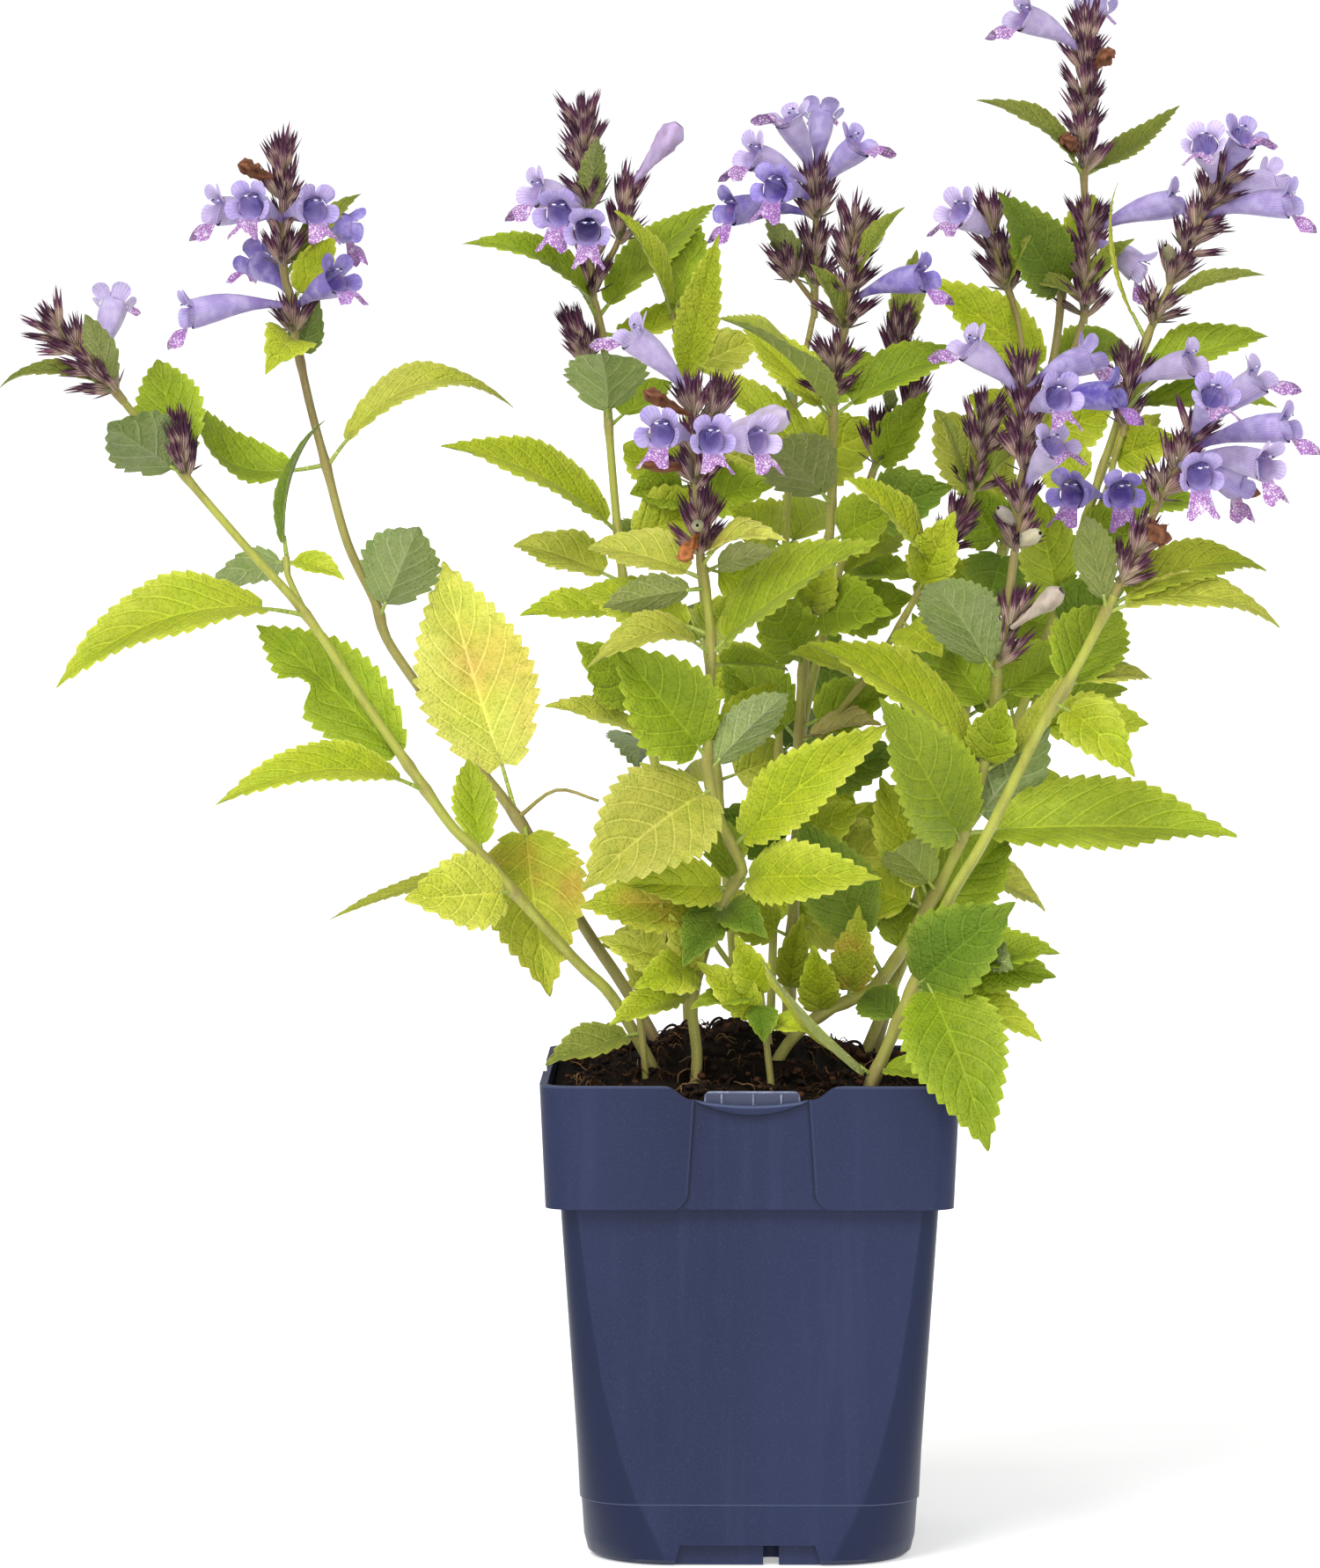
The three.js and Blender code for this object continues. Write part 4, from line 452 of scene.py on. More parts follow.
            ((74, 48, 300), ((52, 60, 330), 24, 'front', 5, 0.08)),
            ((62, 43, 250), ((42, 52, 234), 22, 'front', 5, 0.08)),
            ((50, 38, 200), ((42, 86, 212), 22, 'up', 5, 0.15)),
            ((80, 50, 320), ((62, 44, 334), 20, 'front', 5, 0.1), ((102, 58, 330), 20, 'front', 5, 0.1)),
            ((67, 45, 272), ((90, 56, 268), 22, 'front', 5, 0.1), ((46, 52, 280), 24, 'front', 5, 0.1)),
            ((56, 40, 225), ((78, 50, 222), 24, 'front', 5, 0.1)),
            ((50, 38, 200), ((30, 44, 218), 24, 'front', 5, 0.1, 'bright')),
            ((43, 35, 175), ((64, 44, 180), 22, 'front', 5, 0.1)),
            ((72, 47, 290), ((61, 36, 308), 20, 'front', 4, 0.1, 'green'))]},
    'spike_right_tall': {
        'stalks': [
            ([(94.2, 50, 356.3), (95, 50, 372), (94, 50, 396), (94, 50, 415), (94.5, 50, 438)], 1.2, 0.9)],
        'whorls': [((94.3, 50, 357.5), (94.8, 50, 389), 16), ((94, 50, 398), (94.5, 50, 443), 14)],
        'florets': [
            ((94, 50, 430), (77, 40, 440)), ((94.5, 50, 432), (97, 66, 443)), ((95, 50, 379), (119, 44, 388)),
            ((95, 50, 378), (109, 36, 375))],
        'buds': [((94.2, 50, 424), (103, 44, 431), 2), ((94, 50, 402), (88, 40, 408), 2.2)],
        'leaves': [
            ((94, 50, 396), ((64, 38, 417), 9, 'up', 5, 0.16, 'olive'),
             ((121, 62, 421), 8, 'up', 5, -0.04, 'olive')),
            ((94.5, 50, 360), ((78, 40, 366), 7, 'up', 3, 0.15, 'olive')),
            ((94.6, 50, 364), ((108, 42, 378), 7, 'up', 2, 0.1, 'olive'))]},
    'spike_right_small': {
        'stalks': [
            ([(73.3, 37, 362.4), (70, 36, 371), (67, 36, 386)], 1, 0.8)],
        'whorls': [((72.6, 37, 364), (66, 36, 390), 14)],
        'florets': [((69, 36, 377), (59, 24, 385))],
        'leaves': [
            ((72.5, 37, 364.5), ((79, 28, 379), 6, 'up', 1, 0.1, 'olive'))]},
    'shoot_far_right': {
        'stalks': [
            ([(23, 14, 124), (34, 15, 150), (55, 17, 200), (75, 20, 240), (92, 23, 290), (105, 26, 330),
              (113, 28, 352.5)], 1.8, 1.1),
            ([(92, 23, 290), (100, 22, 305), (103, 21, 316), (105.4, 20, 324)], 1, 0.9)],
        'florets': [((100, 22, 305), (91, 4, 306)), ((101, 22, 308), (105, 3, 306))],
        'leaves': [
            ((108, 27, 338), ((146, 14, 351), 18, 'up', 4, 0.1)),
            ((105, 26, 330), ((149, 38, 331), 11, 'up', 6, 0.1, 'green')),
            ((99, 24.7, 312), ((116, 40, 329), 10, 'up', 6, 0.05, 'yellow')),
            ((92, 23, 290), ((119, 42, 285), 17, 'up', 5, 0.1)),
            ((75, 20, 240), ((107, 32, 251), 19, 'up', 6, 0.1), ((70, 58, 262), 21, 'up', 5, 0.15, 'green')),
            ((55, 17, 200), ((84, 36, 188), 19, 'up', 6, 0.12)),
            ((112, 28, 349), ((103, 48, 394), 2.6, 'left', 6, 0.12, 'pale')),
            ((84, 21.5, 265), ((106, 14, 280), 20, 'front', 5, 0.1)),
            ((98, 24, 305), ((84, 32, 318), 18, 'front', 5, 0.1)),
            ((65, 18.5, 220), ((88, 26, 226), 20, 'front', 5, 0.1)),
            ((88, 22, 276), ((80, 8, 307), 20, 'front', 4, 0.1, 'mid')),
            ((92, 23, 290), ((111, 12, 300), 18, 'front', 4, 0.1, 'green')),
            ((100, 25, 314), ((121, 16, 322), 16, 'front', 4, 0.1, 'bright')),
            ((95, 24, 300), ((130, 32, 303), 16, 'up', 5, 0.1, 'green')),
            ((75, 20, 240), ((113, 24, 241), 18, 'front', 9, 0.1, 'bright'))]},
    'spike_far_right': {
        'stalks': [
            ([(113.3, 28, 353.3), (116, 28.3, 359), (122, 29, 373), (134, 30, 397)], 1.2, 0.9)],
        'whorls': [((114, 28, 355), (122, 29, 374), 16), ((123, 29, 375), (137, 31, 402), 17)],
        'florets': [
            ((131, 30, 392), (128, 12, 404)), ((133, 30, 394), (139, 20, 406)),
            ((127, 30, 384), (151, 22, 388)), ((129, 30, 387), (146, 44, 394))],
        'buds': [((120, 29, 370), (117, 18, 376), 1.8)],
        'leaves': [
            ((116, 28.3, 359), ((145, 16, 368), 7, 'up', 4, 0.12, 'olive'))]},
    'spike_lower_right': {
        'stalks': [
            ([(105.6, 20, 324.8), (107, 20, 342)], 1.1, 0.8)],
        'whorls': [((105.8, 20, 326), (108, 20, 348), 14)],
        'florets': [((106.5, 20, 336), (124, 10, 343))],
        'leaves': [
            ((105.8, 20, 327), ((114, 8, 338), 6, 'up', 1, 0.1, 'olive'))]},
}

# ---------- Placing ----------
def at(point):
    """A point of the front drawing, in the part's own frame."""
    x, y, z = point
    spread = (VIEW_DISTANCE + y + RIM_HALF) / VIEW_DISTANCE
    return np.array((x * spread, y, VIEW_HEIGHT + (z - VIEW_HEIGHT) * spread + GROUND_LINE))


def moved(point, shift):
    return tuple(p + s for p, s in zip(point, shift))


def unit(v):
    return v / np.linalg.norm(v)


def squared(v, along):
    """The direction of v after it is turned square to along."""
    return unit(v - along * v.dot(along))


def square_to(along):
    up = squared(np.array((0, -1, 0) if abs(along[2]) > 0.9 else (0, 0, 1), dtype=float), along)
    return up, np.cross(along, up)


def around(up, side, angle):
    """Directions at one or more angles from up towards side."""
    return np.cos(angle)[..., None] * up + np.sin(angle)[..., None] * side


def full_turn(count):
    return np.arange(count) / count * 2 * np.pi


def smooth_step(x, low, high):
    t = np.clip((x - low) / (high - low), 0, 1)
    return t * t * (3 - 2 * t)


def blend(a, b, share):
    return a * (1 - share) + b * share


def uv_grid(u, v):
    return np.stack(np.broadcast_arrays(u, v), axis=-1)


class Near:
    """Tells how far a point is from the nearest vertex of a node's solid."""

    def __init__(self, name):
        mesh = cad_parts[name].data
        self.tree = KDTree(len(mesh.vertices))
        for i, vertex in enumerate(mesh.vertices):
            self.tree.insert(vertex.co * 1000, i)
        self.tree.balance()

    def gap(self, point):
        return self.tree.find(Vector(point))[2]


class Surface:
    """Gathers grids of points, with paint and UV, for one piece."""

    def __init__(self):
        self.points, self.quads, self.paint, self.uv, self.count = [], [], [], [], 0

    def grid(self, points, paint, uv=(0, 0), closed=False, flip=False, alpha=None):
        rows, cols = points.shape[:2]
        index = np.arange(rows * cols).reshape(rows, cols) + self.count
        if closed:
            index = np.concatenate([index, index[:, :1]], axis=1)
        corners = [index[:-1, :-1], index[:-1, 1:], index[1:, 1:], index[1:, :-1]]
        paint = np.array(np.broadcast_to(paint, (rows, cols, 4)))
        if alpha is not None:
            paint[..., 3] = alpha
        self.points.append(points.reshape(-1, 3))
        self.quads.append(np.stack(corners[::-1] if flip else corners, axis=-1).reshape(-1, 4))
        self.paint.append(paint.reshape(-1, 4))
        self.uv.append(np.broadcast_to(uv, (rows, cols, 2)).reshape(-1, 2))
        self.count += rows * cols

    def piece(self, name, material, node, slot):
        mesh = bpy.data.meshes.new(name)
        quads = np.concatenate(self.quads)
        mesh.from_pydata(np.clip(np.concatenate(self.points) / 1000, *cad_box), [], quads)
        uv = mesh.uv_layers.new(name='UVMap')
        uv.data.foreach_set('uv', np.concatenate(self.uv)[quads.ravel()].astype(np.float32).ravel())
        mesh.polygons.foreach_set('use_smooth', np.ones(len(quads), dtype=bool))
        mesh.materials.append(material)
        put_paint(mesh, np.concatenate(self.paint))
        mesh.update()
        return settle(new_object(name, mesh), node)


def put_paint(mesh, paint):
    layer = mesh.attributes.new('paint', 'FLOAT_COLOR', 'POINT')
    layer.data.foreach_set('color', paint.astype(np.float32).ravel())


def new_object(name, data):
    made = bpy.data.objects.new(name, data)
    bpy.context.scene.collection.objects.link(made)
    return made


def settle(piece, node):
    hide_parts(node)
    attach(piece, 'root')
    return piece


TUBE_UV = 0.02  # of the UV's height for each millimetre along a tube


def run_of(path):
    """Length of a path up to each of its points."""
    return np.concatenate([[0], np.cumsum(np.linalg.norm(np.diff(path, axis=0), axis=1))])


def smooth_path(points, step):
    """Evenly spaced points on a smooth curve through the given ones."""
    p = np.array(points, dtype=float)
    ends = np.vstack([2 * p[0] - p[1], p, 2 * p[-1] - p[-2]])
    out = []
    for i in range(1, len(ends) - 2):
        a, b, c, d = ends[i - 1:i + 3]
        count = max(1, int(np.linalg.norm(c - b) / step))
        for t in np.arange(count) / count:
            out.append(0.5 * (2 * b + (c - a) * t + (2 * a - 5 * b + 4 * c - d) * t ** 2
                              + (3 * b - a - 3 * c + d) * t ** 3))
    return np.array(out + [p[-1]])


def tube(surface, path, radii, paint, sides=8, corner=0.0, alpha=None):
    """Skin round a path, without a twist; corner above 0 makes its section squarish."""
    along = np.gradient(path, axis=0)
    along /= np.linalg.norm(along, axis=1)[:, None]
    side, rows = np.array((1, 0.2, 0)), []
    angle = full_turn(sides)
    for spot, way, radius in zip(path, along, np.broadcast_to(radii, len(path))):
        side = squared(side, way)
        ring = around(side, np.cross(way, side), angle)
        rows.append(spot + ring * (1 + corner * np.cos(4 * angle))[:, None] * radius)
    uv = uv_grid(angle / 2 / np.pi, run_of(path)[:, None] * TUBE_UV)
    surface.grid(np.array(rows), paint, uv, closed=True, flip=True, alpha=alpha)


# ---------- Leaves ----------
COLUMNS = np.array((-1, -0.86, -0.6, -0.32, -0.08, 0, 0.08, 0.32, 0.6, 0.86, 1))
ASIDE = np.abs(COLUMNS)
SHELL = 0.22  # half thickness of a blade
VEINS, VEIN_GAP = (4, 7), 7  # fewest and most pairs of side veins, and the blade's length for each
TEETH, TOOTH_LENGTH = (6, 15), 4.3
TOOTH_STEPS, SHORT_TOOTH_STEPS, SHORT_LEAF = (0, 0.3, 0.6, 0.85), (0, 0.45, 0.85), 22
TOOTH_DEPTH = 0.044  # of a notch between teeth, as a share of the leaf's breadth, beyond 0.3 mm
FOOT_LOBE, FOOT_LOBE_END = 0.055, 0.16  # reach of the lobes at a blade's foot, and where they end
VEIN_RELIEF = 1 / 24  # of the bulges between the veins, as a share of half the breadth
RIPPLE, TIP_CURL, TURN, SIDE_BEND = 0.022, 0.5, 0.16, 0.012
CURL_START = 0.78
SPOTS = 5  # patches of each tone past the third
LEAF_STALK_TONE = 'a6b556'
# Where the edge of a leaf is bitten away: tip of the leaf -> (place along it, side, depth, length)
BITES = {(-140, 269): ((0.56, -1, 0.55, 0.075), (0.5, -1, 0.3, 0.04)), (88, 176): ((0.86, 1, 0.5, 0.03),)}


def leaf_frame(leaf, shift, base=None):
    start, tip, width, face = leaf[:4]
    base = at(start) if base is None else base
    chord = at(moved(tip, shift)) - base
    share = ROOT_OFFSET / np.linalg.norm(chord)
    base, chord = base + chord * share, chord * (1 - share)
    length = np.linalg.norm(chord)
    broad = max(width, min(width * UP_BREADTH, length * BROADEST)) if face == 'up' else width
    up = squared(np.array(FACES[face], dtype=float), chord / length)
    return base, chord, length, broad, up, np.cross(chord / length, up)


def leaf_shift(leaf, near):
    """The swing with which the solid of this leaf was set, or None if it has none."""
    for shift in SHIFTS:
        tip, half = at(moved(leaf[1], shift)), leaf_frame(leaf, shift)[4] * BLADE / 2
        if near.gap(tip + half) < TIP_REACH and near.gap(tip - half) < TIP_REACH:
            return shift
    return None


def blade_rows(tip, length, broad):
    """Places along a blade, half its breadth there, and the columns' distances from the rib."""
    teeth = int(np.clip(round(length / TOOTH_LENGTH), *TEETH))
    steps = np.array(TOOTH_STEPS if length > SHORT_LEAF else SHORT_TOOTH_STEPS)
    u = np.append((np.arange(teeth)[:, None] + steps).ravel() / teeth, 1)[:, None] ** 0.93
    cut = np.append(np.tile((1 - steps / steps[-1]) ** 1.3, teeth), 0)[:, None]
    outline = np.sin(np.pi * np.clip(u, 0, 0.9995) ** 0.72) ** 0.86
    half = np.maximum(broad / 2 * outline, 0.12)
    depth = np.minimum(cut * (0.3 + broad * TOOTH_DEPTH) * min(1, max(0.45, length / 30)), half * 0.4)
    offset = COLUMNS * half - np.sign(COLUMNS) * smooth_step(ASIDE, 0.55, 1) * depth
    for spot, way, bite, spread in BITES.get((round(tip[0]), round(tip[2])), ()):
        inward = bite * np.clip(1.25 * np.exp(-((u - spot) / spread) ** 2), 0, 1)
        offset = np.where(COLUMNS * way > 0, offset * (1 - inward), offset)
    return u, half, offset


def blade_paint(u, tone, phase, swing, draw):
    """Paint of the upper side, patchy and yellower to the edge and tip, and of the underside."""
    high, rim, low = tones(tone[:3])
    level = draw.uniform(-1, 1)
    patch = np.sin(u * 5 + phase) * np.cos(COLUMNS * 2.4 + swing * 3) * 0.5 + 0.5
    fade = np.clip(0.35 * patch + 0.8 * ASIDE ** 5 + 0.3 * smooth_step(u, 0.8, 1) + 0.12 * level, 0, 1)
    top = blend(high, rim, fade[..., None]) * (1 + 0.1 * draw.uniform(-1, 1))
    for spots in tones(tone[3:]):
        for _ in range(SPOTS):
            ahead, aside = draw.uniform(0.08, 0.65), draw.uniform(-0.8, 0.8)
            size = draw.uniform(0.06, 0.16)
            mark = np.exp(-((u - ahead) / size) ** 2 - ((COLUMNS - aside) / size / 2.5) ** 2)
            top = blend(top, spots, 0.4 * mark[..., None])
    return top, low * (1 + 0.08 * level)


def add_leaf(surface, leaf, shift, draw, tone, base=None):
    """A toothed blade with two skins, on its stalk. Paint's alpha is 1 on the upper side."""
    base, chord, length, broad, up, side = leaf_frame(leaf, shift, base)
    petiole, arch = leaf[4:6]
    rise = length * arch - broad * FOLD * RIB_SINK
    broad *= 0.92 if leaf[3] == 'up' else 1
    u, half, offset = blade_rows(leaf[1], length, broad)
    # the two lobes at the foot of the blade reach back past the end of its stalk
    lobes = FOOT_LOBE * np.clip(1 - u / FOOT_LOBE_END, 0, 1) ** 0.6 * ASIDE ** 1.5 * np.sign(u)
    s = (petiole + (length - petiole) * u) / length - lobes * min(1, broad / length * 2)
    phase, swing = draw.uniform(0, 6.3), draw.uniform(-1, 1)
    curl, lean = draw.uniform(0.2, 1), draw.uniform(-1, 1)
    vein = (u - 0.3 * ASIDE - 0.1 * ASIDE ** 2.5) * np.clip(int(length / VEIN_GAP), *VEINS)
    arc = rise * 4 * s * (1 - s)
    fold = FOLD * half * ASIDE * (1.25 - 0.25 * ASIDE)
    relief = half * VEIN_RELIEF * np.abs(np.sin(np.pi * vein)) ** 1.3 * (1 - ASIDE ** 4) * np.sqrt(ASIDE)
    ripple = RIPPLE * broad * np.sin(u * 13 + phase + 2.2 * np.sign(COLUMNS)) * ASIDE ** 3
    tip_curl = curl * length * TIP_CURL * np.clip(u - CURL_START, 0, 1) ** 2
    turn = swing * TURN * u * COLUMNS * half
    bend = lean * length * SIDE_BEND * np.sin(np.pi * u)
    height = arc + fold + relief + ripple - tip_curl + turn
    place = base + chord * s[..., None] + up * height[..., None] + side * (offset + bend)[..., None]
    shell = SHELL * (1 - ASIDE ** 6) * np.clip(half / 2, 0.15, 1)
    groove = np.where(COLUMNS == 0, 0.3, 0) * np.clip(half / 5, 0, 1)
    top, low = blade_paint(u, tone, phase, swing, draw)
    uv = uv_grid(0.5 + 0.5 * COLUMNS, 0.4 + vein / 10)
    surface.grid(place + up * (shell - groove * 0.8)[..., None], top, uv, alpha=1)
    surface.grid(place - up * (shell + groove * 1.4)[..., None], low, uv, flip=True, alpha=0)
    s = (np.linspace(0, 1, 6) * (petiole + (length - petiole) * 0.06) / length)[:, None]
    path = base + chord * s + up * (rise * 4 * s * (1 - s) - 0.25)
    thick = np.linspace(0.75, 0.5, 6) * min(1, 0.35 + length / 50)
    tube(surface, path, thick, blend(*tones((LEAF_STALK_TONE, tone[2])), 0.4), sides=6, alpha=0)


# ---------- Flower heads ----------
# Foot, tube and teeth of a calyx
CALYX_TONES = (('a89e74', '86606a', '4c283e'), ('988a62', '7e5862', '562e4a'),
               ('847a58', '68444f', '42223a'), ('b0a67c', '96746f', '623852'))
# Share of its length and radius there; then for the teeth how far they splay, and the height of the
# notches between them over the rim of the tube
CALYX_TUBE = ((0, 0.45), (0.14, 0.85), (0.3, 1.12), (0.42, 1.2), (0.5, 1.12))
CALYX_TEETH = ((0.74, 0.4, 0.08), (1, 1, 0.12))
# Outer and inner calyces of a tier: share of the tilt, number, share of the length
CALYX_LAYERS = ((1, 8, 1), (0.5, 4, 0.92))
BRACTS, BRACT_TONES = 4, ('5b5a34', '4a3340', '6a6f38')
# Lobes, foot of the tube, lip and throat of a floret
FLORET_TONES = {
    'fresh': ('988abb', '765fa0', 'd6c4da', '9c90d0'),
    'pale': ('b0a2c6', '8c7bb0', 'dccee0', 'a69ad2'),
    'deep': ('554aa2', '433688', '9c88be', '41367e'),
    'rich': ('7a6cb2', '5c4c96', 'c2aed0', '6c5eaa'),
}
FLORET_SIDES = 24
MOUTH = 4.1  # radius of a floret at its mouth
# Share of the floret's length and radius there; inside the mouth also how dark it is
FLORET_TUBE = ((0, 0.8), (0.12, 0.95), (0.26, 1.3), (0.4, 1.95), (0.52, 2.65), (0.64, 3.3), (0.76, 3.8),
               (0.88, 4.05), (1, MOUTH))
FLORET_CUP = ((1.0, MOUTH * 0.97, 0), (0.92, 3.6, 0.3), (0.8, 2.9, 0.8), (0.7, 0.2, 1))
# Middle angle, half angle, reach, bend at the rim and at the end
LOBES = ((-31, 34, 5.3, 16, 78), (31, 34, 5.3, 16, 78), (104, 38, 4.7, 4, 74), (-104, 38, 4.7, 4, 74))
# Breadth of the lip from its neck to its end
LIP_BREADTH = ((0, 0.2, 0.42, 0.72, 1), (3.3, 2.9, 4.2, 5.0, 4.1))
STAMEN_TONE, ANTHER_TONES = 'a9a4dc', ('e0dcee', '2c2c6a')
# Points on the rim of a floret's solid: angle, radius, distance past the mouth
FLORET_RIM = ((154, 9, 9), (206, 9, 9), (34, 8.6, 1), (-34, 8.6, 1))


def make_draw(seed):
    """Even draws between -1 and 1, the same as the solids'."""
    state = seed * 7919 + 17

    def draw():
        nonlocal state
        state = state * 16807 % 2147483647
        return state / 2147483647 * 2 - 1
    return draw


def whorl_frame(whorl):
    low = at(whorl[0])
    axis = at(whorl[1]) - low
    reach = np.linalg.norm(axis)
    climb = max(0, reach - CALYX_LENGTH)
    return (low, axis / reach, *square_to(axis / reach), climb, round(climb / TIER_STEP + 1e-9) + 1)


def whorl_lean(width, shrink):
    return math.asin(min(0.85, width / 2 * shrink / CALYX_LENGTH))


def whorl_shrink(whorl, seed, near):
    """How narrow the solid of this whorl is held: the share whose tips lie on it."""
    low, along, up, side, _, _ = whorl_frame(whorl)
    best = (0, None)
    for shrink in WHORL_SHRINKS:
        draw = make_draw(seed)
        hits = 0
        for k in range(10):
            tilt = whorl_lean(whorl[2], shrink) + draw() * 0.08
            length = CALYX_LENGTH * (1 + draw() * 0.08)
            out = around(up, side, k * math.pi / 5)
            tip = low + along * length * math.cos(tilt) + out * length * math.sin(tilt)
            hits += k % 2 == 0 and near.gap(tip) < WHORL_TIP_REACH
        best = max(best, (hits, shrink), key=lambda entry: entry[0])
    return best[1]


def add_calyx(surface, foot, along, length, draw, fresh):
    """A ribbed tube with five long needle-like teeth."""
    up, side = square_to(along)
    ring = around(up, side, full_turn(10) + draw.uniform(0, 6.3))
    bow = side * length * draw.uniform(-0.06, 0.06)
    rows = [foot + along * length * share + bow * math.sin(3 * share) + ring * radius
            for share, radius in CALYX_TUBE]
    rim, flare = rows[-1], draw.uniform(0.6, 1.5)
    even = (np.arange(10) % 2 == 0)[:, None]
    for share, out, lift in CALYX_TEETH:
        reach = length * share * draw.uniform(0.95, 1.06, 10)[:, None]
        tooth = foot + along * reach + bow * math.sin(3 * share) + ring * blend(1.2, flare, out)
        rows.append(np.where(even, tooth, rim + along * lift))
    base, body, tip = (tone * (0.85 + 0.3 * draw.uniform()) for tone in tones(CALYX_TONES[draw.integers(4)]))
    body = blend(body, base, 0.4 * fresh)
    paint = np.array([base, blend(base, body, 0.3), blend(base, body, 0.8), body, blend(body, tip, 0.55),
                      tip, tip])
    shares = np.array([row[0] for row in CALYX_TUBE + CALYX_TEETH])
    uv = uv_grid(np.arange(10) / 10, shares[:, None])
    surface.grid(np.array(rows), paint[:, None], uv, closed=True, flip=True, alpha=1)


def add_whorl(surface, whorl, shrink, draw):
    """Tiers of outer and inner calyces, and narrow bracts under the lowest."""
    low, along, up, side, climb, tiers = whorl_frame(whorl)
    lean = whorl_lean(whorl[2], 1 - 0.35 * (1 - shrink))
    gaps = max(1, tiers - 1)
    step = climb / gaps if tiers > 1 else TIER_STEP
    for tier in range(tiers):
        tilt = lean * (1 - 0.3 * tier / gaps)
        for layer, (part, number, shorter) in enumerate(CALYX_LAYERS):
            for k in range(number):
                angle = (k + 0.5 * (tier + layer)) / number * 2 * math.pi + draw.uniform(-0.3, 0.3)
                lift = tilt * part * draw.uniform(0.62, 1.26)
                out = around(up, side, angle)
                foot = low + along * (tier * step + draw.uniform(-1.6, 3.0) + 1.2 * layer) + out * 0.8
                length = CALYX_LENGTH * draw.uniform(0.9, 1.24) * shorter
                add_calyx(surface, foot, around(along, out, lift), length, draw, draw.uniform(0.2, 1))
    for k in range(BRACTS):
        out = around(up, side, k / BRACTS * 2 * math.pi + draw.uniform(-0.3, 0.3))
        length = 4.5 + whorl[2] * 0.12
        add_bract(surface, low + out * 0.8 - along * 0.5, unit(along * 0.35 + out), along, length, draw)


def add_bract(surface, foot, way, above, length, draw):
    up = squared(above, way)
    side = np.cross(way, up)
    u = np.linspace(0, 1, 7)[:, None]
    v = np.array((-1, -0.5, 0, 0.5, 1))
    half = length * 0.16 * np.maximum(np.sin(np.pi * u ** 0.7) ** 0.8, 0.05)
    height = np.abs(v) * half * 0.5 + 0.12 * length * u ** 2
    points = foot + way * (u * length)[..., None] + side * (v * half)[..., None] + up * height[..., None]
    surface.grid(points, tones(BRACT_TONES)[draw.integers(3)], uv_grid(0.5 + 0.5 * v, u))


def floret_frame(floret, shift):
    foot = at(floret[0])
    along = at(moved(floret[1], shift)) - foot
    length = np.linalg.norm(along)
    return (foot, along / length, length, *square_to(along / length))


def floret_shift(floret, near):
    """The swing with which the solid of this floret was set, or None if it has none."""
    best = None
    for shift in SHIFTS:
        foot, along, length, up, side = floret_frame(floret, shift)
        hits = sum(near.gap(foot + along * (length + ahead) + around(up, side, math.radians(angle)) * radius)
                   < TIP_REACH for angle, radius, ahead in FLORET_RIM)
        if hits >= 2:
            return shift
        best = shift if hits and best is None else best
    return best


def add_floret(petals, stamens, floret, shift, draw, kind):
    """A curved funnel with two upper lobes, two side lobes and a long spotted lip."""
    place = floret_frame(floret, shift)
    pale, deep, lip, throat = tones(FLORET_TONES[kind])
    pale, deep, lip = (tone * draw.uniform(0.88, 1.12) for tone in (pale, deep, lip))
    add_funnel(petals, place, pale, deep, throat)
    for lobe in LOBES:
        add_lobe(petals, place, lobe, pale, deep, draw)
    add_lip(petals, place, pale, lip, draw)
    add_stamens(stamens, place)


def add_funnel(petals, place, pale, deep, throat):
    """The tube of a floret, and a cup just inside its mouth."""
    foot, along, length, up, side = place
    turn = full_turn(FLORET_SIDES)
    ring = around(up, side * 0.92, turn)
    belly = 1 + 0.14 * smooth_step(-np.cos(turn), 0, 1)

    def middle(share):
        return foot + along * length * share + up * 0.06 * length * math.sin(math.pi * share)

    rows = []
    for share, radius in FLORET_TUBE:
        crease = 1 + 0.05 * share * np.sin(5 * turn + 3 * share)
        rows.append(middle(share) + ring * (radius * belly * crease)[:, None])
    shares = np.array([share for share, _ in FLORET_TUBE])[:, None]
    paint = blend(deep, pale, smooth_step(shares, 0, 0.75))
    uv = uv_grid(turn / 2 / np.pi, shares)
    petals.grid(np.array(rows), paint[:, None], uv, closed=True, flip=True, alpha=0)
    cup = np.array([middle(share) + ring * radius for share, radius, _ in FLORET_CUP])
    paint = np.array([blend(pale, throat, dark) for _, _, dark in FLORET_CUP])
    petals.grid(cup, paint[:, None], closed=True, alpha=0)


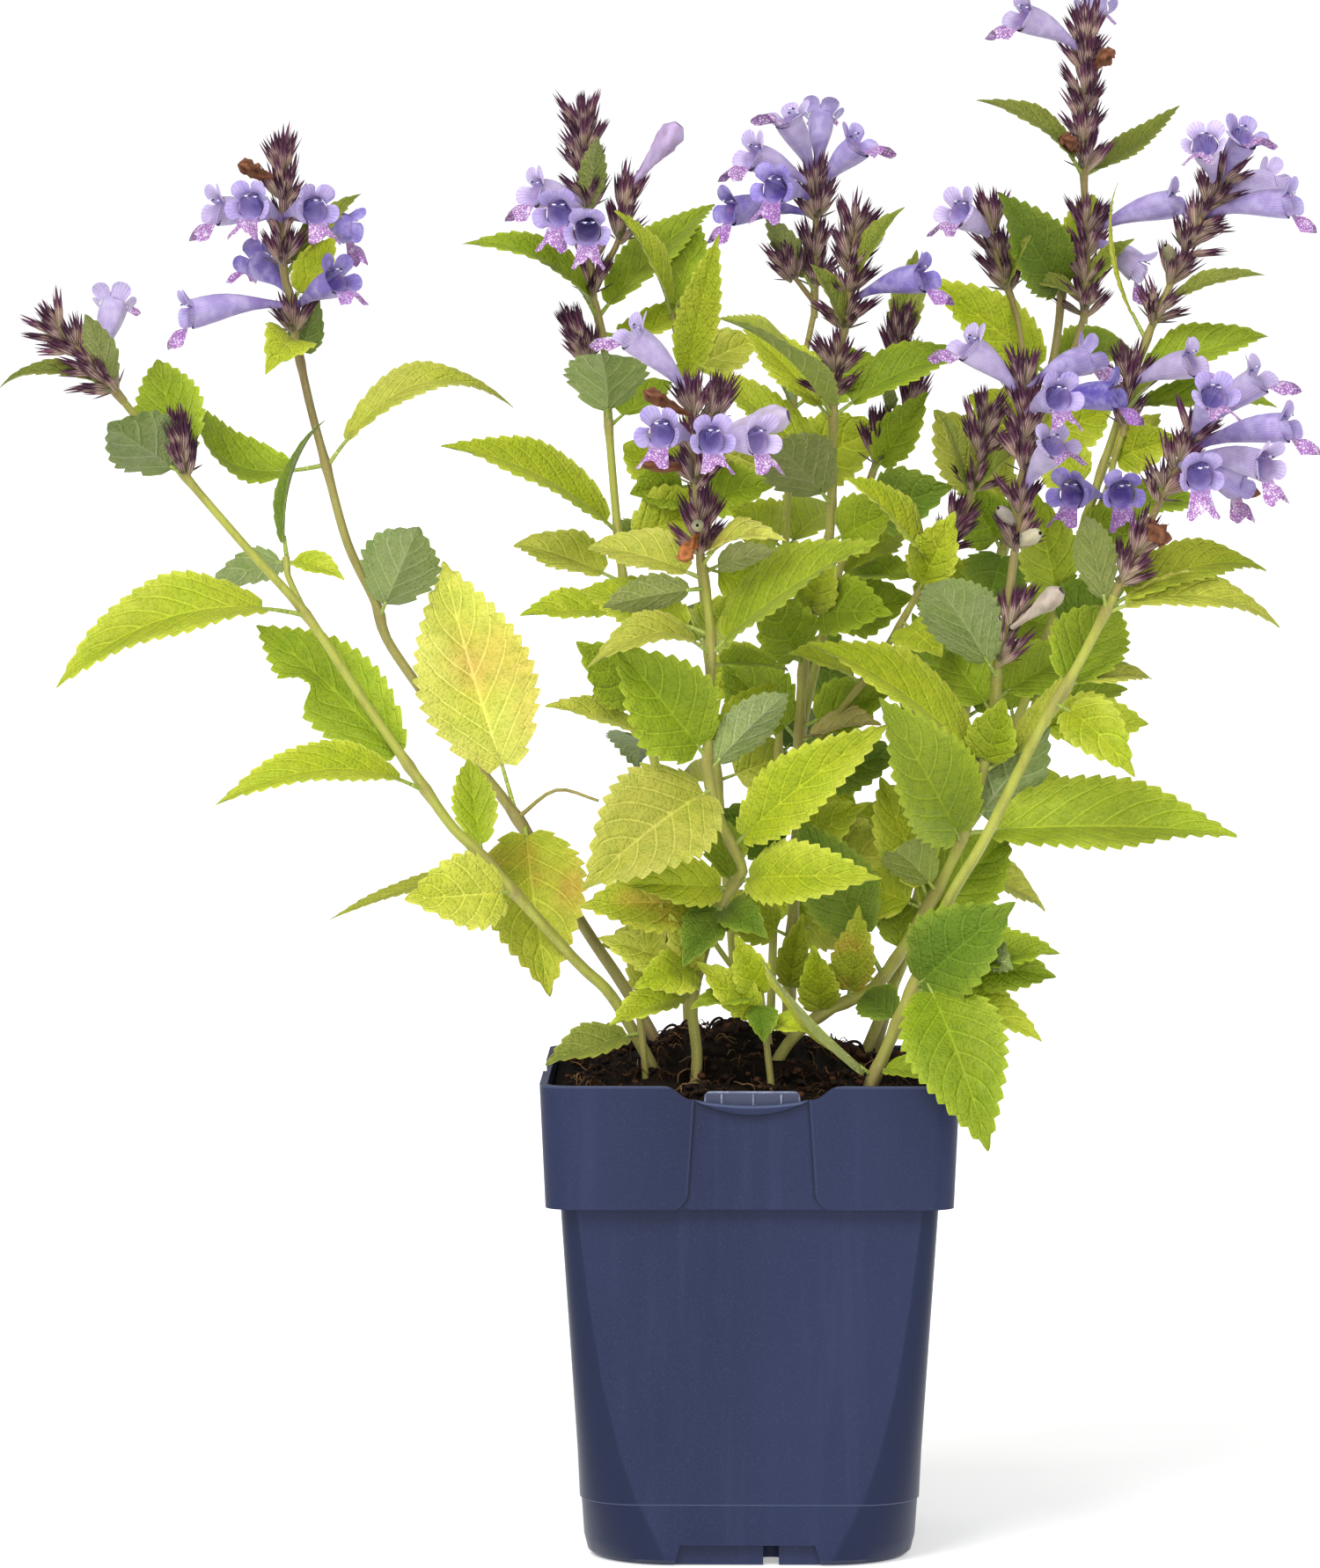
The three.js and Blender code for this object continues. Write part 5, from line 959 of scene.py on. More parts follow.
def add_lobe(petals, place, lobe, pale, deep, draw):
    foot, along, length, up, side = place
    aim, half, reach, first, last = lobe
    mouth = foot + along * length
    reach, last = reach * draw.uniform(0.88, 1.06), last + draw.uniform(-22, 16)
    # kept below the top of the part
    outward = around(up, side, math.radians(aim))
    rise = 0.8 * outward[2] + 0.5 * along[2]
    room = cad_box[1][2] * 1000 - 0.3 - (mouth + outward * MOUTH)[2]
    reach = min(reach, room / rise) if rise > 0.1 else reach
    across = np.linspace(-1, 1, 11)
    radial = around(up, side, np.radians(aim + half * across))
    end = (reach * np.clip(1 - np.abs(across) ** 2.4, 0, 1) ** 0.5)[:, None]
    points, shades = [mouth + radial * MOUTH], [blend(pale, deep, 0.4)]
    for t in np.linspace(0, 1, 8)[1:]:
        points.append(points[-1] + around(along, radial, math.radians(blend(first, last, t))) * end / 7)
        shades.append(pale * (0.92 + 0.3 * t))
    points[0] = points[0] - along * 0.3
    shades[0] = pale * 0.6 + deep * 0.4
    uv = uv_grid(0.3 + 0.1 * across, np.linspace(0.4, 0.9, 8)[:, None])
    petals.grid(np.array(points), np.array(shades)[:, None], uv, alpha=0)


def add_lip(petals, place, pale, lip, draw):
    """A narrow neck, then two broad ruffled flaps with a notch between, hollow above."""
    foot, along, length, up, side = place
    across = np.linspace(-1, 1, 17)
    t = np.linspace(0, 1, 12)[:, None]
    cut = 1 - 0.13 * np.exp(-(across / 0.18) ** 2) - 0.16 * np.abs(across) ** 4
    run = t * (1 + (cut - 1) * t ** 2)
    sway, droop = draw.uniform(-1, 1), 1 + 1.7 * np.clip(-along[1], 0, 1) + draw.uniform(-0.6, 1)
    forward = 9.4 * run - 1.9 * run ** 3
    fall = 4.0 + droop * run ** 1.5 - 1.8 * across ** 2 * (1 - smooth_step(t, 0, 0.3))
    fall = fall + 0.35 * np.sin(across * 9 + sway * 4) * t ** 2
    fall = fall + 4.9 * np.abs(across) ** 1.7 * smooth_step(t, 0.12, 0.5)
    fall = fall + 1.8 * (1 - across ** 2) * smooth_step(t, 0.6, 1.05)
    aside = across * np.interp(t, *LIP_BREADTH) + sway * t
    points = (foot + along * (length + forward)[..., None] - up * fall[..., None]
              + side * aside[..., None])
    paint = blend(pale, lip, smooth_step(t, 0.05, 0.35))[:, None]
    petals.grid(points, paint, uv_grid(0.4 + 0.12 * across, 0.5 + 0.4 * t), alpha=smooth_step(t, 0.02, 0.25))


def add_stamens(surface, place):
    """Four threads under the upper lobes, with two-armed anthers."""
    foot, along, length, up, side = place
    (thread,), anthers = tones([STAMEN_TONE]), tones(ANTHER_TONES)
    for k, (spin, further) in enumerate(((-0.5, 1.2), (-0.2, 2.6), (0.2, 2.6), (0.5, 1.2))):
        path = np.array([foot + along * length * 0.6 + up * 0.6,
                         foot + along * length * 0.9 + up * 2.0 + side * spin * 1.6,
                         foot + along * (length + further) + up * 2.6 + side * spin * 3.2])
        tube(surface, smooth_path(path, 1.2), 0.15, thread, sides=5)
        arms = path[-1] + np.array([up * 0.2 - side * 0.6, along * 0.3, up * 0.2 + side * 0.6])
        tube(surface, arms, (0.15, 0.3, 0.15), anthers[k % 2], sides=6)


# How crumpled each kind of bud is, and its breadth from foot to end
BUD_SHAPES = {
    'withered': (0.34, (0.3, 0.45, 0.7, 1, 0.8, 0.1)),
    'closed': (0.1, (0.22, 0.34, 0.62, 0.95, 1, 0.45)),
    'capsule': (0.05, (0.4, 0.75, 1, 1, 0.7, 0.25)),
}
BUD_ROWS, BUD_SIDES = 18, 16


def add_bud(surface, bud, draw, kind, tone):
    """A withered floret, crumpled and twisted, a closed one, or a smooth capsule."""
    foot, end = at(bud[0]), at(bud[1])
    share = np.linspace(0, 1, BUD_ROWS)[:, None]
    up, side = square_to(unit(end - foot))
    crumple, profile = BUD_SHAPES[kind]
    wide = np.maximum(0.2, bud[2] * np.interp(share, (0, 0.25, 0.5, 0.7, 0.9, 1), profile))
    turn = full_turn(BUD_SIDES)
    folds = np.sin(4 * turn + 9 * share) + 0.7 * np.sin(3 * turn - 14 * share)
    rough = draw.uniform(-1, 1, (BUD_ROWS, BUD_SIDES))
    reach = wide * np.maximum(0.15, 1 + crumple * (0.8 * rough + 0.7 * folds))
    sway = np.cumsum(draw.uniform(-1, 1, (BUD_ROWS, 2)), axis=0) * crumple * 0.7
    centre = foot + (end - foot) * share + up * sway[:, :1] + side * sway[:, 1:]
    points = centre[:, None] + around(up, side, turn) * reach[..., None]
    # painted light and shade: paler where the crumpled skin bulges out, darker in its folds
    light = (1 + min(1, crumple * 2.4) * (0.35 * folds + 0.4 * rough)).clip(0.15, 2)
    surface.grid(points, tones([tone])[0] * light[..., None], (0.022, 0.5), closed=True, flip=True, alpha=1)


# ---------- Stems ----------
STEM_TONES = ('a2a63e', '7d5c4a', '8b7a45')  # green, ripe, and at a joint
RIPE_HEIGHTS, WOODY_HEIGHTS = (290, 390), (165, 135)
JOINT_REACH, JOINT_SWELL = 4, 0.28
STEM_STEP, STEM_THINNER, SPIKE_FOOT = 3, 0.93, 2.5  # a spike's stem starts this far inside the shoot


def add_stalk(surface, stalk, joints, kind, tint=0):
    """A squarish stem, swollen where leaves sit on it, and browner with height."""
    path, from_radius, to_radius = stalk
    points = [at(p) for p in path]
    if kind == 'spike':
        points[0] = points[0] + unit(points[0] - points[1]) * SPIKE_FOOT
    points = smooth_path(points, STEM_STEP)
    share = run_of(points) / run_of(points)[-1]
    swell = np.zeros(len(points))
    for joint in joints:
        gap = np.linalg.norm(points - joint, axis=1)
        if gap.min() < JOINT_REACH:
            swell = np.maximum(swell, np.exp(-(gap / 3) ** 2))
    radii = blend(from_radius, to_radius, share) * STEM_THINNER * (1 + JOINT_SWELL * swell)
    height, share, swell = points[:, 2:], share[:, None], swell[:, None]
    brown = 0.5 + 0.35 * share
    if kind == 'shoot':
        woody = smooth_step(height, *WOODY_HEIGHTS) * 0.5
        brown = np.clip(smooth_step(height, *RIPE_HEIGHTS) * 0.62 + woody + tint, 0, 1)
    green, ripe, joint = tones(STEM_TONES)
    paint = blend(blend(green, ripe, brown), joint, 0.5 * swell)
    tube(surface, points, radii, paint[:, None], sides=12, corner=0.08, alpha=1)


# ---------- Materials ----------
class Value:
    """A node's output. A sign between two of them makes a Math node."""

    def __init__(self, nodes, socket):
        self.nodes, self.socket = nodes, socket

    def math(self, operation, other=0.0, third=0.0):
        return self.nodes.math(operation, self, other, third)

    def __rsub__(self, other):
        return self.nodes.math('SUBTRACT', other, self)

    __add__ = partialmethod(math, 'ADD')
    __sub__ = partialmethod(math, 'SUBTRACT')
    __mul__ = partialmethod(math, 'MULTIPLY')
    __truediv__ = partialmethod(math, 'DIVIDE')
    __gt__ = partialmethod(math, 'GREATER_THAN')
    __lt__ = partialmethod(math, 'LESS_THAN')
    __abs__ = partialmethod(math, 'ABSOLUTE')
    scaled = partialmethod(math, 'MULTIPLY_ADD')

    def folded(self, number):
        """Up and down again, between 0 and 0.5, as often as the number says."""
        return (self * number).math('PINGPONG', 0.5)

    def ramp(self, low, high):
        return self.nodes.get('MapRange', 0, {'interpolation_type': 'SMOOTHSTEP'}, _0=self, _1=low, _2=high)


class Nodes:
    """Short calls for making a material's nodes."""

    def __init__(self, name):
        self.material = bpy.data.materials.new(name)
        self.material.use_nodes = True
        self.tree = self.material.node_tree
        self.shader = self.tree.nodes['Principled BSDF']

    def add(self, kind, settings=None, **inputs):
        node = self.tree.nodes.new('ShaderNode' + kind)
        for key, value in (settings or {}).items():
            setattr(node, key, value)
        for key, value in inputs.items():
            self.put(node, key, value)
        return node

    def put(self, node, key, value):
        """Sets or links an input, given by its name or by _ and its number."""
        socket = node.inputs[int(key[1:]) if key[0] == '_' else key]
        if isinstance(value, Value):
            self.tree.links.new(value.socket, socket)
        else:
            socket.default_value = value

    def get(self, kind, output=0, settings=None, **inputs):
        return Value(self, self.add(kind, settings, **inputs).outputs[output])

    def parts(self, vector):
        return [Value(self, part) for part in self.add('SeparateXYZ', _0=vector).outputs]

    def paint(self):
        node = self.add('Attribute', {'attribute_name': 'paint'})
        return Value(self, node.outputs['Color']), Value(self, node.outputs['Alpha'])

    def uv(self):
        return self.parts(self.get('UVMap'))

    def place(self):
        return self.get('TexCoord', 'Object')

    def math(self, operation, a, b=0.0, c=0.0):
        return self.get('Math', 0, {'operation': operation}, _0=a, _1=b, _2=c)

    def mix(self, share, a, b, blend='MIX'):
        a, b = ((*tone, 1) if isinstance(tone, tuple) else tone for tone in (a, b))
        return self.get('Mix', 2, {'data_type': 'RGBA', 'blend_type': blend}, _0=share, _6=a, _7=b)

    def over(self, colour, *layers):
        """A colour under layers, each with its mask, strength and tone."""
        for mask, strength, tone in layers:
            colour = self.mix(mask * strength, colour, tone)
        return colour

    def noise(self, scale, detail=3.0, rough=0.55, stretch=None):
        vector = self.place()
        if stretch:
            vector = self.get('Mapping', Vector=vector, Scale=(1, 1, stretch))
        return self.get('TexNoise', 'Fac', Vector=vector, Scale=scale, Detail=detail, Roughness=rough)

    def cells(self, vector, scale):
        return self.get('TexVoronoi', 0, {'feature': 'DISTANCE_TO_EDGE'}, Vector=vector, Scale=scale)

    def bump(self, height, strength, distance):
        self.set(Normal=self.get('Bump', Height=height, Strength=strength, Distance=distance))

    def set(self, **values):
        for key, value in values.items():
            self.put(self.shader, key.replace('_', ' '), value)


def leaf_material():
    n = Nodes('leaf')
    paint, upper = n.paint()
    across, vein, _ = n.uv()
    from_rib = abs(across.scaled(2.0, -1.0))
    line, fade = vein.folded(10.0), from_rib.ramp(1.0, 0.75)
    rib, side = from_rib.ramp(0.045, 0.012), line.ramp(0.06, 0.02) * fade
    sunk_shaded_flanks = line.ramp(0.22, 0.04) * fade
    warp = n.get('TexNoise', 'Color', Vector=n.place(), Scale=300.0, Detail=1.0)
    bent = n.get('VectorMath', 0, {'operation': 'MULTIPLY_ADD'}, _0=warp, _1=(0.002,) * 3, _2=n.place())
    cells = n.cells(bent, 620.0)
    net, grain = cells.ramp(0.1, 0.0), n.noise(1400.0, 2.0)
    blotch, mottle = n.noise(42.0, 4.0).ramp(0.36, 0.68), n.noise(210.0, 3.0).ramp(0.35, 0.7)
    colour = n.mix(blotch * 0.35, paint, (0.5, 0.62, 0.16), 'SOFT_LIGHT')
    pale = n.mix(1.0, colour, (1.4, 1.36, 1.8), 'MULTIPLY')
    dark = n.mix(1.0, colour, (0.55, 0.68, 0.42), 'MULTIPLY')
    colour = n.over(colour, (mottle, 0.46, dark))
    # pale veins and a fine net of them, with painted shade on the sunken flanks of the veins above
    above = n.over(colour, (sunk_shaded_flanks, 0.24, dark), (net, 0.32, pale), (side, 0.85, pale))
    below = n.mix(side, n.over(colour, (net, 0.3, pale)), pale)
    colour = n.over(n.mix(upper, below, above), (rib, 0.8, pale))
    # the blade is domed between the veins, upwards
    dome = cells.ramp(0.0, 0.4) * 0.5 - sunk_shaded_flanks.math('MAXIMUM', rib) * 0.6
    n.bump(dome * upper.scaled(2.0, -1.0) + grain * 0.15, 0.7, 0.0006)
    n.set(Base_Color=colour, Roughness=grain.scaled(0.22, 0.4), Specular_IOR_Level=0.22,
          Subsurface_Weight=0.1, Subsurface_Scale=0.0012, Subsurface_Radius=(0.6, 1.0, 0.2),
          Sheen_Weight=0.05, Sheen_Roughness=0.4)
    return n.material


def stem_material():
    n = Nodes('stem')
    paint, _ = n.paint()
    streak, fuzz = n.noise(260.0, 3.0, stretch=0.12), n.noise(1500.0, 2.0)
    colour = n.mix(streak.ramp(0.42, 0.7), paint, (0.28, 0.13, 0.09), 'MULTIPLY')
    colour = n.over(n.mix(0.3, paint, colour), (fuzz.ramp(0.55, 0.75), 0.2, (0.68, 0.7, 0.4)))
    n.bump(streak + fuzz * 0.5, 0.4, 0.0003)
    n.set(Base_Color=colour, Roughness=streak.scaled(0.2, 0.45), Subsurface_Weight=0.1,
          Subsurface_Scale=0.002, Sheen_Weight=0.08, Sheen_Roughness=0.5)
    return n.material


def calyx_material():
    n = Nodes('calyx')
    paint, _ = n.paint()
    turn, reach, _ = n.uv()
    ribs, fuzz = turn.folded(10.0), n.noise(2200.0, 2.0)
    colour = n.mix(n.noise(320.0, 3.0).ramp(0.35, 0.7) * 0.5, paint, (0.5, 0.36, 0.32), 'SOFT_LIGHT')
    # pale ribs on the tube, partly their own tone and partly painted highlight, with painted shade in the
    # grooves between them
    colour = n.mix(ribs.ramp(0.24, 0.44) * 0.7 * reach.ramp(0.72, 0.42), colour, (0.52, 0.4, 0.35))
    colour = n.over(colour, (ribs.ramp(0.16, 0.03), 0.45, (0.05, 0.02, 0.03)),
                    (fuzz.ramp(0.6, 0.75), 0.08, (0.42, 0.3, 0.36)))
    n.bump(ribs + fuzz * 0.4, 0.6, 0.0003)
    n.set(Base_Color=colour, Roughness=fuzz.scaled(0.2, 0.55), Sheen_Weight=0.04, Sheen_Roughness=0.4,
          Specular_IOR_Level=0.2)
    return n.material


def floret_material():
    """Fine lines along the tube, and purple spots where the paint's alpha marks the lip."""
    n = Nodes('floret')
    paint, lip = n.paint()
    lines, soft = n.uv()[0].folded(34.0), n.noise(260.0, 3.0)
    spots = n.cells(n.place(), 1150.0).ramp(0.25, 0.13) * n.noise(420.0, 2.0).ramp(0.28, 0.46) * lip
    colour = n.over(paint, (lines.ramp(0.22, 0.05), 0.36, (0.17, 0.08, 0.38)),
                    (soft.ramp(0.35, 0.7), 0.3, (0.74, 0.67, 0.88)), (spots, 0.85, (0.24, 0.05, 0.3)))
    n.bump(lines + soft, 0.3, 0.0002)
    n.set(Base_Color=colour, Roughness=soft.scaled(0.2, 0.45), Subsurface_Weight=0.2,
          Subsurface_Scale=0.0015, Specular_IOR_Level=0.25, Sheen_Weight=0.12, Sheen_Roughness=0.4)
    return n.material


def pot_material():
    """Frosted flat faces between glossier corners with painted shade, which the paint's alpha marks."""
    n = Nodes('navy_plastic')
    # painted shade: the rounded corners, turned away from the front light, are darkened in the colour below
    corner = n.paint()[1].ramp(0.0, 0.7)
    grain, dust = n.noise(1500.0, 3.0, 0.7), n.noise(700.0, 3.0, 0.7)
    cloud, streak = n.noise(14.0, 4.0, stretch=0.3), n.noise(120.0, 3.0, stretch=0.05)
    x, y, z = n.parts(n.place())
    seam = abs(z - PARTING_SEAM / 1000).ramp(0.00032, 0.0001)
    # how far a point is inside the gap between the raised panels of its side
    one, other = x * y.math('SIGN'), y * x.math('SIGN')
    place = other - (abs(y) > abs(x)) * (one + other)
    down = (RIM_TOP / 1000 - z) * (1000 / (RIM_TOP - BAND_BOTTOM))
    left, right = (down.scaled((side['low'] - side['top']) / 1000, side['top'] / 1000)
                   for side in (PANEL_LEFT, PANEL_RIGHT))
    below = ((BAND_BOTTOM + PANEL_CORNER) / 1000 - z) / ((PANEL_CORNER + 1) / 1000)
    round_off = below.math('MAXIMUM', 0.0).math('POWER', 2.4) * (PANEL_CORNER / 1000)
    inside = (place - left).math('MINIMUM', right - place) + round_off
    band = (z.ramp((BAND_BOTTOM - 0.2) / 1000, (BAND_BOTTOM + 3) / 1000)
            * z.ramp((RIM_TOP - 2) / 1000, (RIM_TOP - 4.5) / 1000))
    # painted shade: darker just inside the recess along each raised panel's edge
    low = inside.ramp(0.0011, 0.0002) * (inside > 0.0) * band
    # painted highlight: a paler strip on each raised panel's edge
    panel_edge_highlight = inside.ramp(-0.0009, -0.0003) * (inside < 0.0) * band
    # the bead of the lip: a painted highlight along its top, with a painted shadow line under it
    ends = PANEL_LEFT['top'], PANEL_RIGHT['top']
    middle, half = sum(ends) / 2000, (ends[1] - ends[0]) / 2000
    share = (x - middle) / half
    bow = 1.0 - share * share
    at_lip = (bow > 0.0) * (y < -0.05)
    level = (RIM_TOP - LIP['drop']) / 1000
    above = z - bow.scaled(-LIP['sag'] / 2000, level)
    under = bow.scaled(-(LIP['sag'] + LIP['edge']) / 2000, level) - z
    shade = under.ramp(0.0012, 0.0001) * (under > -0.0001) * at_lip
    light = above.ramp(-0.0009, -0.0002) * (under < 0.0) * at_lip
    # painted highlight: a paler line along the top of the rim
    top = z.ramp((RIM_TOP - 0.8) / 1000, (RIM_TOP - 0.2) / 1000)
    # tone of the painted shade in the panel recesses and under the lip's bead
    groove = (0.004, 0.006, 0.02)
    colour = n.over(
        n.mix(cloud.ramp(0.35, 0.7), (0.0098, 0.0152, 0.0475), (0.015, 0.0222, 0.065)),
        (streak.ramp(0.5, 0.75), 0.3, (0.028, 0.036, 0.09)),
        (grain.ramp(0.5, 0.7), 0.35, (0.034, 0.042, 0.09)),
        (dust.ramp(0.66, 0.8), 0.25, (0.08, 0.1, 0.16)), (corner, 0.75, (0.0055, 0.0105, 0.037)),
        (seam, 0.55, (0.12, 0.15, 0.26)), (low, 0.6, groove), (panel_edge_highlight, 0.22, (0.06, 0.075, 0.15)),
        (shade, 0.65, groove), (light, 0.5, (0.1, 0.13, 0.24)), (top, 0.35, (0.09, 0.11, 0.2)))
    n.bump(grain + streak * 0.4, 0.3, 0.00016)
    n.set(Base_Color=colour, Roughness=grain.scaled(0.2, 0.34) - corner * 0.12, Specular_IOR_Level=0.2)
    return n.material


def tab_material(name, light):
    """Navy with a painted highlight along its edges, broken up by noise; light says how much painted
    highlight lies over all of it.
    """
    n = Nodes(name)
    grain, wear_and_highlight_noise = n.noise(2600.0, 2.0), n.noise(500.0, 4.0, 0.7)
    x, _, z = n.parts(n.place())
    left, right = SLOT_TAB['left'], SLOT_TAB['right']
    middle, half = (left + right) / 2000, (right - left) / 2000
    # painted highlight along the tab's sides and top
    edge = (half - abs(x - middle)).math('MINIMUM', SLOT_TAB['high'] / 1000 - z).ramp(0.0007, 0.0003)
    pale = (edge * 0.6).math('MAXIMUM', light) * wear_and_highlight_noise.ramp(0.3, 0.7).scaled(0.7, 0.3)
    n.bump(grain + wear_and_highlight_noise, 0.3, 0.00015)
    n.set(Base_Color=n.mix(pale, (0.022, 0.03, 0.08), (0.36, 0.41, 0.58)), Roughness=grain.scaled(0.2, 0.25))
    return n.material


def soil_material():
    n = Nodes('peat')
    crumb, clump = n.noise(420.0, 6.0, 0.7), n.noise(120.0, 5.0, 0.65)
    colour = n.mix(clump.ramp(0.36, 0.64), (0.0022, 0.0013, 0.0009), (0.013, 0.007, 0.0045))
    colour = n.over(colour, (crumb.ramp(0.6, 0.76), 0.5, (0.055, 0.03, 0.016)))
    n.bump(crumb + clump, 1.0, 0.0016)
    n.set(Base_Color=colour, Roughness=crumb.scaled(0.3, 0.65), Specular_IOR_Level=0.1)
    return n.material


def fibre_material():
    n = Nodes('fibre')
    paint, _ = n.paint()
    streak = n.noise(500.0, 3.0)
    colour = n.mix(0.5, paint, n.mix(streak.ramp(0.35, 0.7), paint, (0.02, 0.01, 0.006)))
    n.bump(streak, 0.5, 0.0002)
    n.set(Base_Color=colour, Roughness=streak.scaled(0.2, 0.6), Specular_IOR_Level=0.15)
    return n.material


def floor_material():
    n = Nodes('floor')
    n.set(Base_Color=n.mix(n.noise(3.0, 2.0), (0.94, 0.94, 0.94), (0.96, 0.96, 0.96)), Roughness=0.9,
          Emission_Color=(1, 1, 1, 1), Emission_Strength=0.38, Specular_IOR_Level=0.1)
    return n.material


# ---------- Pot ----------
# Height, half the breadth there, and half of the flat part of a side
POT_OUTSIDE = ((RIM_TOP, RIM_HALF, 53), (BAND_BOTTOM, 58.4, 51.5), (BAND_BOTTOM, 54.1, 49.2),
               (79, 52.5, 46), (54, 50.9, 42), (32, 49.6, 36.5), (PARTING_LINE, 49.1, 31.5),
               (PARTING_LINE - 0.4, 48.6, 31), (6, 48, 25), (1.5, 47, 23), (0, 45.4, 22))
POT_INSIDE = ((8, 45.4, 24), (PARTING_LINE, 46.8, 29.5), (32, 47.5, 35), (54, 48.8, 40.5), (79, 50.4, 44.5),
              (105.2, 52, 47.5), (107.7, 56, 49.5), (RIM_TOP, 57.8, 51.5))
BAND_TAPER = (RIM_HALF - 58.4) / (RIM_TOP - BAND_BOTTOM)
PANEL_DEPTH = 1
TAB_CORNER = 2.2
SLOT_RIBS = (-8, 1, 9)
TAB_RIB = {'half': 0.35, 'proud': 0.8, 'short': 0.7}
FOOT_NOTCH = {'foot': (-21.8, 20.9), 'top': (-20, 18.9), 'inner': 44.8, 'high': 6}
DRAIN = {'left': 4, 'right': 8.5, 'radius': 5, 'reach': 37, 'sides': 24, 'high': 12}
POT_BEVEL, TAB_BEVEL, RIB_BEVEL, LIP_BEVEL = 0.35, 0.3, 0.25, 0.8


def rounded_square(half, flat, z, corner_points=13):
    turn = np.repeat(np.arange(4) * np.pi / 2, corner_points)
    angle = turn + np.tile(np.arange(corner_points) / (corner_points - 1) * np.pi / 2, 4)
    x = flat * (np.cos(turn) - np.sin(turn)) + (half - flat) * np.cos(angle)
    y = flat * (np.sin(turn) + np.cos(turn)) + (half - flat) * np.sin(angle)
    return np.stack([x, y, np.full(len(x), float(z))], axis=1)


def solid_from(vertices, polygons, name):
    mesh = bpy.data.meshes.new(name)
    mesh.from_pydata([tuple(v) for v in vertices], [], polygons)
    work = bmesh.new()
    work.from_mesh(mesh)
    bmesh.ops.recalc_face_normals(work, faces=work.faces)
    work.to_mesh(mesh)
    work.free()
    return new_object(name, mesh)


def loft_solid(rings, name):
    sides = len(rings[0])
    last = (len(rings) - 1) * sides
    polygons = [(r + k, r + (k + 1) % sides, r + (k + 1) % sides + sides, r + k + sides)
                for r in range(0, last, sides) for k in range(sides)]
    polygons += [tuple(range(sides))[::-1], tuple(range(last, last + sides))]
    return solid_from(np.concatenate(rings), polygons, name)


def turned(points, quarter):
    """Points turned by quarters about the pot's axis."""
    c, s = ((1, 0), (0, 1), (-1, 0), (0, -1))[quarter]
    return [(x * c - y * s, x * s + y * c, z) for x, y, z in points]


def plate_solid(outline, front, back, name, quarter=0, taper=0):
    """A shape drawn in x and z, given thickness in y; the taper follows the slant of the rim band."""
    count = len(outline)
    points = [(x, y + taper * (RIM_TOP - z), z) for y in (front, back) for x, z in outline]
    polygons = [tuple(range(count)), tuple(range(2 * count - 1, count - 1, -1))]
    polygons += [(k, (k + 1) % count, (k + 1) % count + count, k + count) for k in range(count)]
    return solid_from(turned(points, quarter), polygons, name)


def bezier(points, steps=10):
    """Points on a curve with one or two handles, without its start."""
    out = []
    for t in np.arange(1, steps + 1) / steps:
        work = [np.array(p, dtype=float) for p in points]
        while len(work) > 1:
            work = [blend(a, b, t) for a, b in zip(work, work[1:])]
        out.append(tuple(work[0]))
    return out


def box_outline(left, right, low, high):
    return [(left, low), (right, low), (right, high), (left, high)]


def panel_gap_outline():
    corner, low = BAND_BOTTOM + PANEL_CORNER, BAND_BOTTOM - 1
    left, right = PANEL_LEFT['low'], PANEL_RIGHT['low']
    outline = [(PANEL_LEFT['top'], RIM_TOP + 1), (left, corner)]
    outline += bezier([(left, corner), (left - 0.5, BAND_BOTTOM + 1), (left - PANEL_CORNER, low)])
    outline += [(right + PANEL_CORNER, low)]
    outline += bezier([(right + PANEL_CORNER, low), (right + 0.5, BAND_BOTTOM + 1), (right, corner)])
    return outline + [(PANEL_RIGHT['top'], RIM_TOP + 1)]


def lip_opening_outline():
    ends = RIM_TOP - LIP['drop']
    left, right = PANEL_LEFT['top'], PANEL_RIGHT['top']
    bend_left, bend_right = (LIP['left'] + left) / 2, (LIP['right'] + right) / 2
    outline = [(LIP['left'], RIM_TOP + 1), (LIP['left'], RIM_TOP)]
    outline += bezier([(LIP['left'], RIM_TOP), (bend_left, RIM_TOP), (bend_left, ends), (left, ends)])
    outline += bezier([(left, ends), ((left + right) / 2, ends - LIP['sag']), (right, ends)], 16)
    outline += bezier([(right, ends), (bend_right, ends), (bend_right, RIM_TOP), (LIP['right'], RIM_TOP)])
    return outline + [(LIP['right'], RIM_TOP + 1)]


def lip_edge_outline():
    ends = RIM_TOP - LIP['drop']
    left, right = PANEL_LEFT['top'], PANEL_RIGHT['top']
    middle = (left + right) / 2
    outline = [(left, ends)] + bezier([(left, ends), (middle, ends - LIP['sag']), (right, ends)], 20)
    return outline + bezier([(right, ends), (middle, ends - LIP['sag'] - LIP['edge']), (left, ends)], 20)[:-1]


def tab_outline():
    left, right, low, high = (SLOT_TAB[side] for side in ('left', 'right', 'low', 'high'))
    outline = [(left, low), (right, low), (right, high - TAB_CORNER)]
    outline += bezier([(right, high - TAB_CORNER), (right, high), (right - TAB_CORNER, high)], 6)
    outline += [(left + TAB_CORNER, high)]
    return outline + bezier([(left + TAB_CORNER, high), (left, high), (left, high - TAB_CORNER)], 6)


def drain_solid(quarter):
    """A round hole at the inner end of each slot in the foot."""
    middle, angle = (DRAIN['left'] + DRAIN['right']) / 2, full_turn(DRAIN['sides'])
    x, y = middle + DRAIN['radius'] * np.cos(angle), DRAIN['radius'] * np.sin(angle) - DRAIN['reach']
    rings = [np.array(turned(zip(x, y, [z] * len(x)), quarter)) for z in (-1, DRAIN['high'])]
    return loft_solid(rings, 'drain')


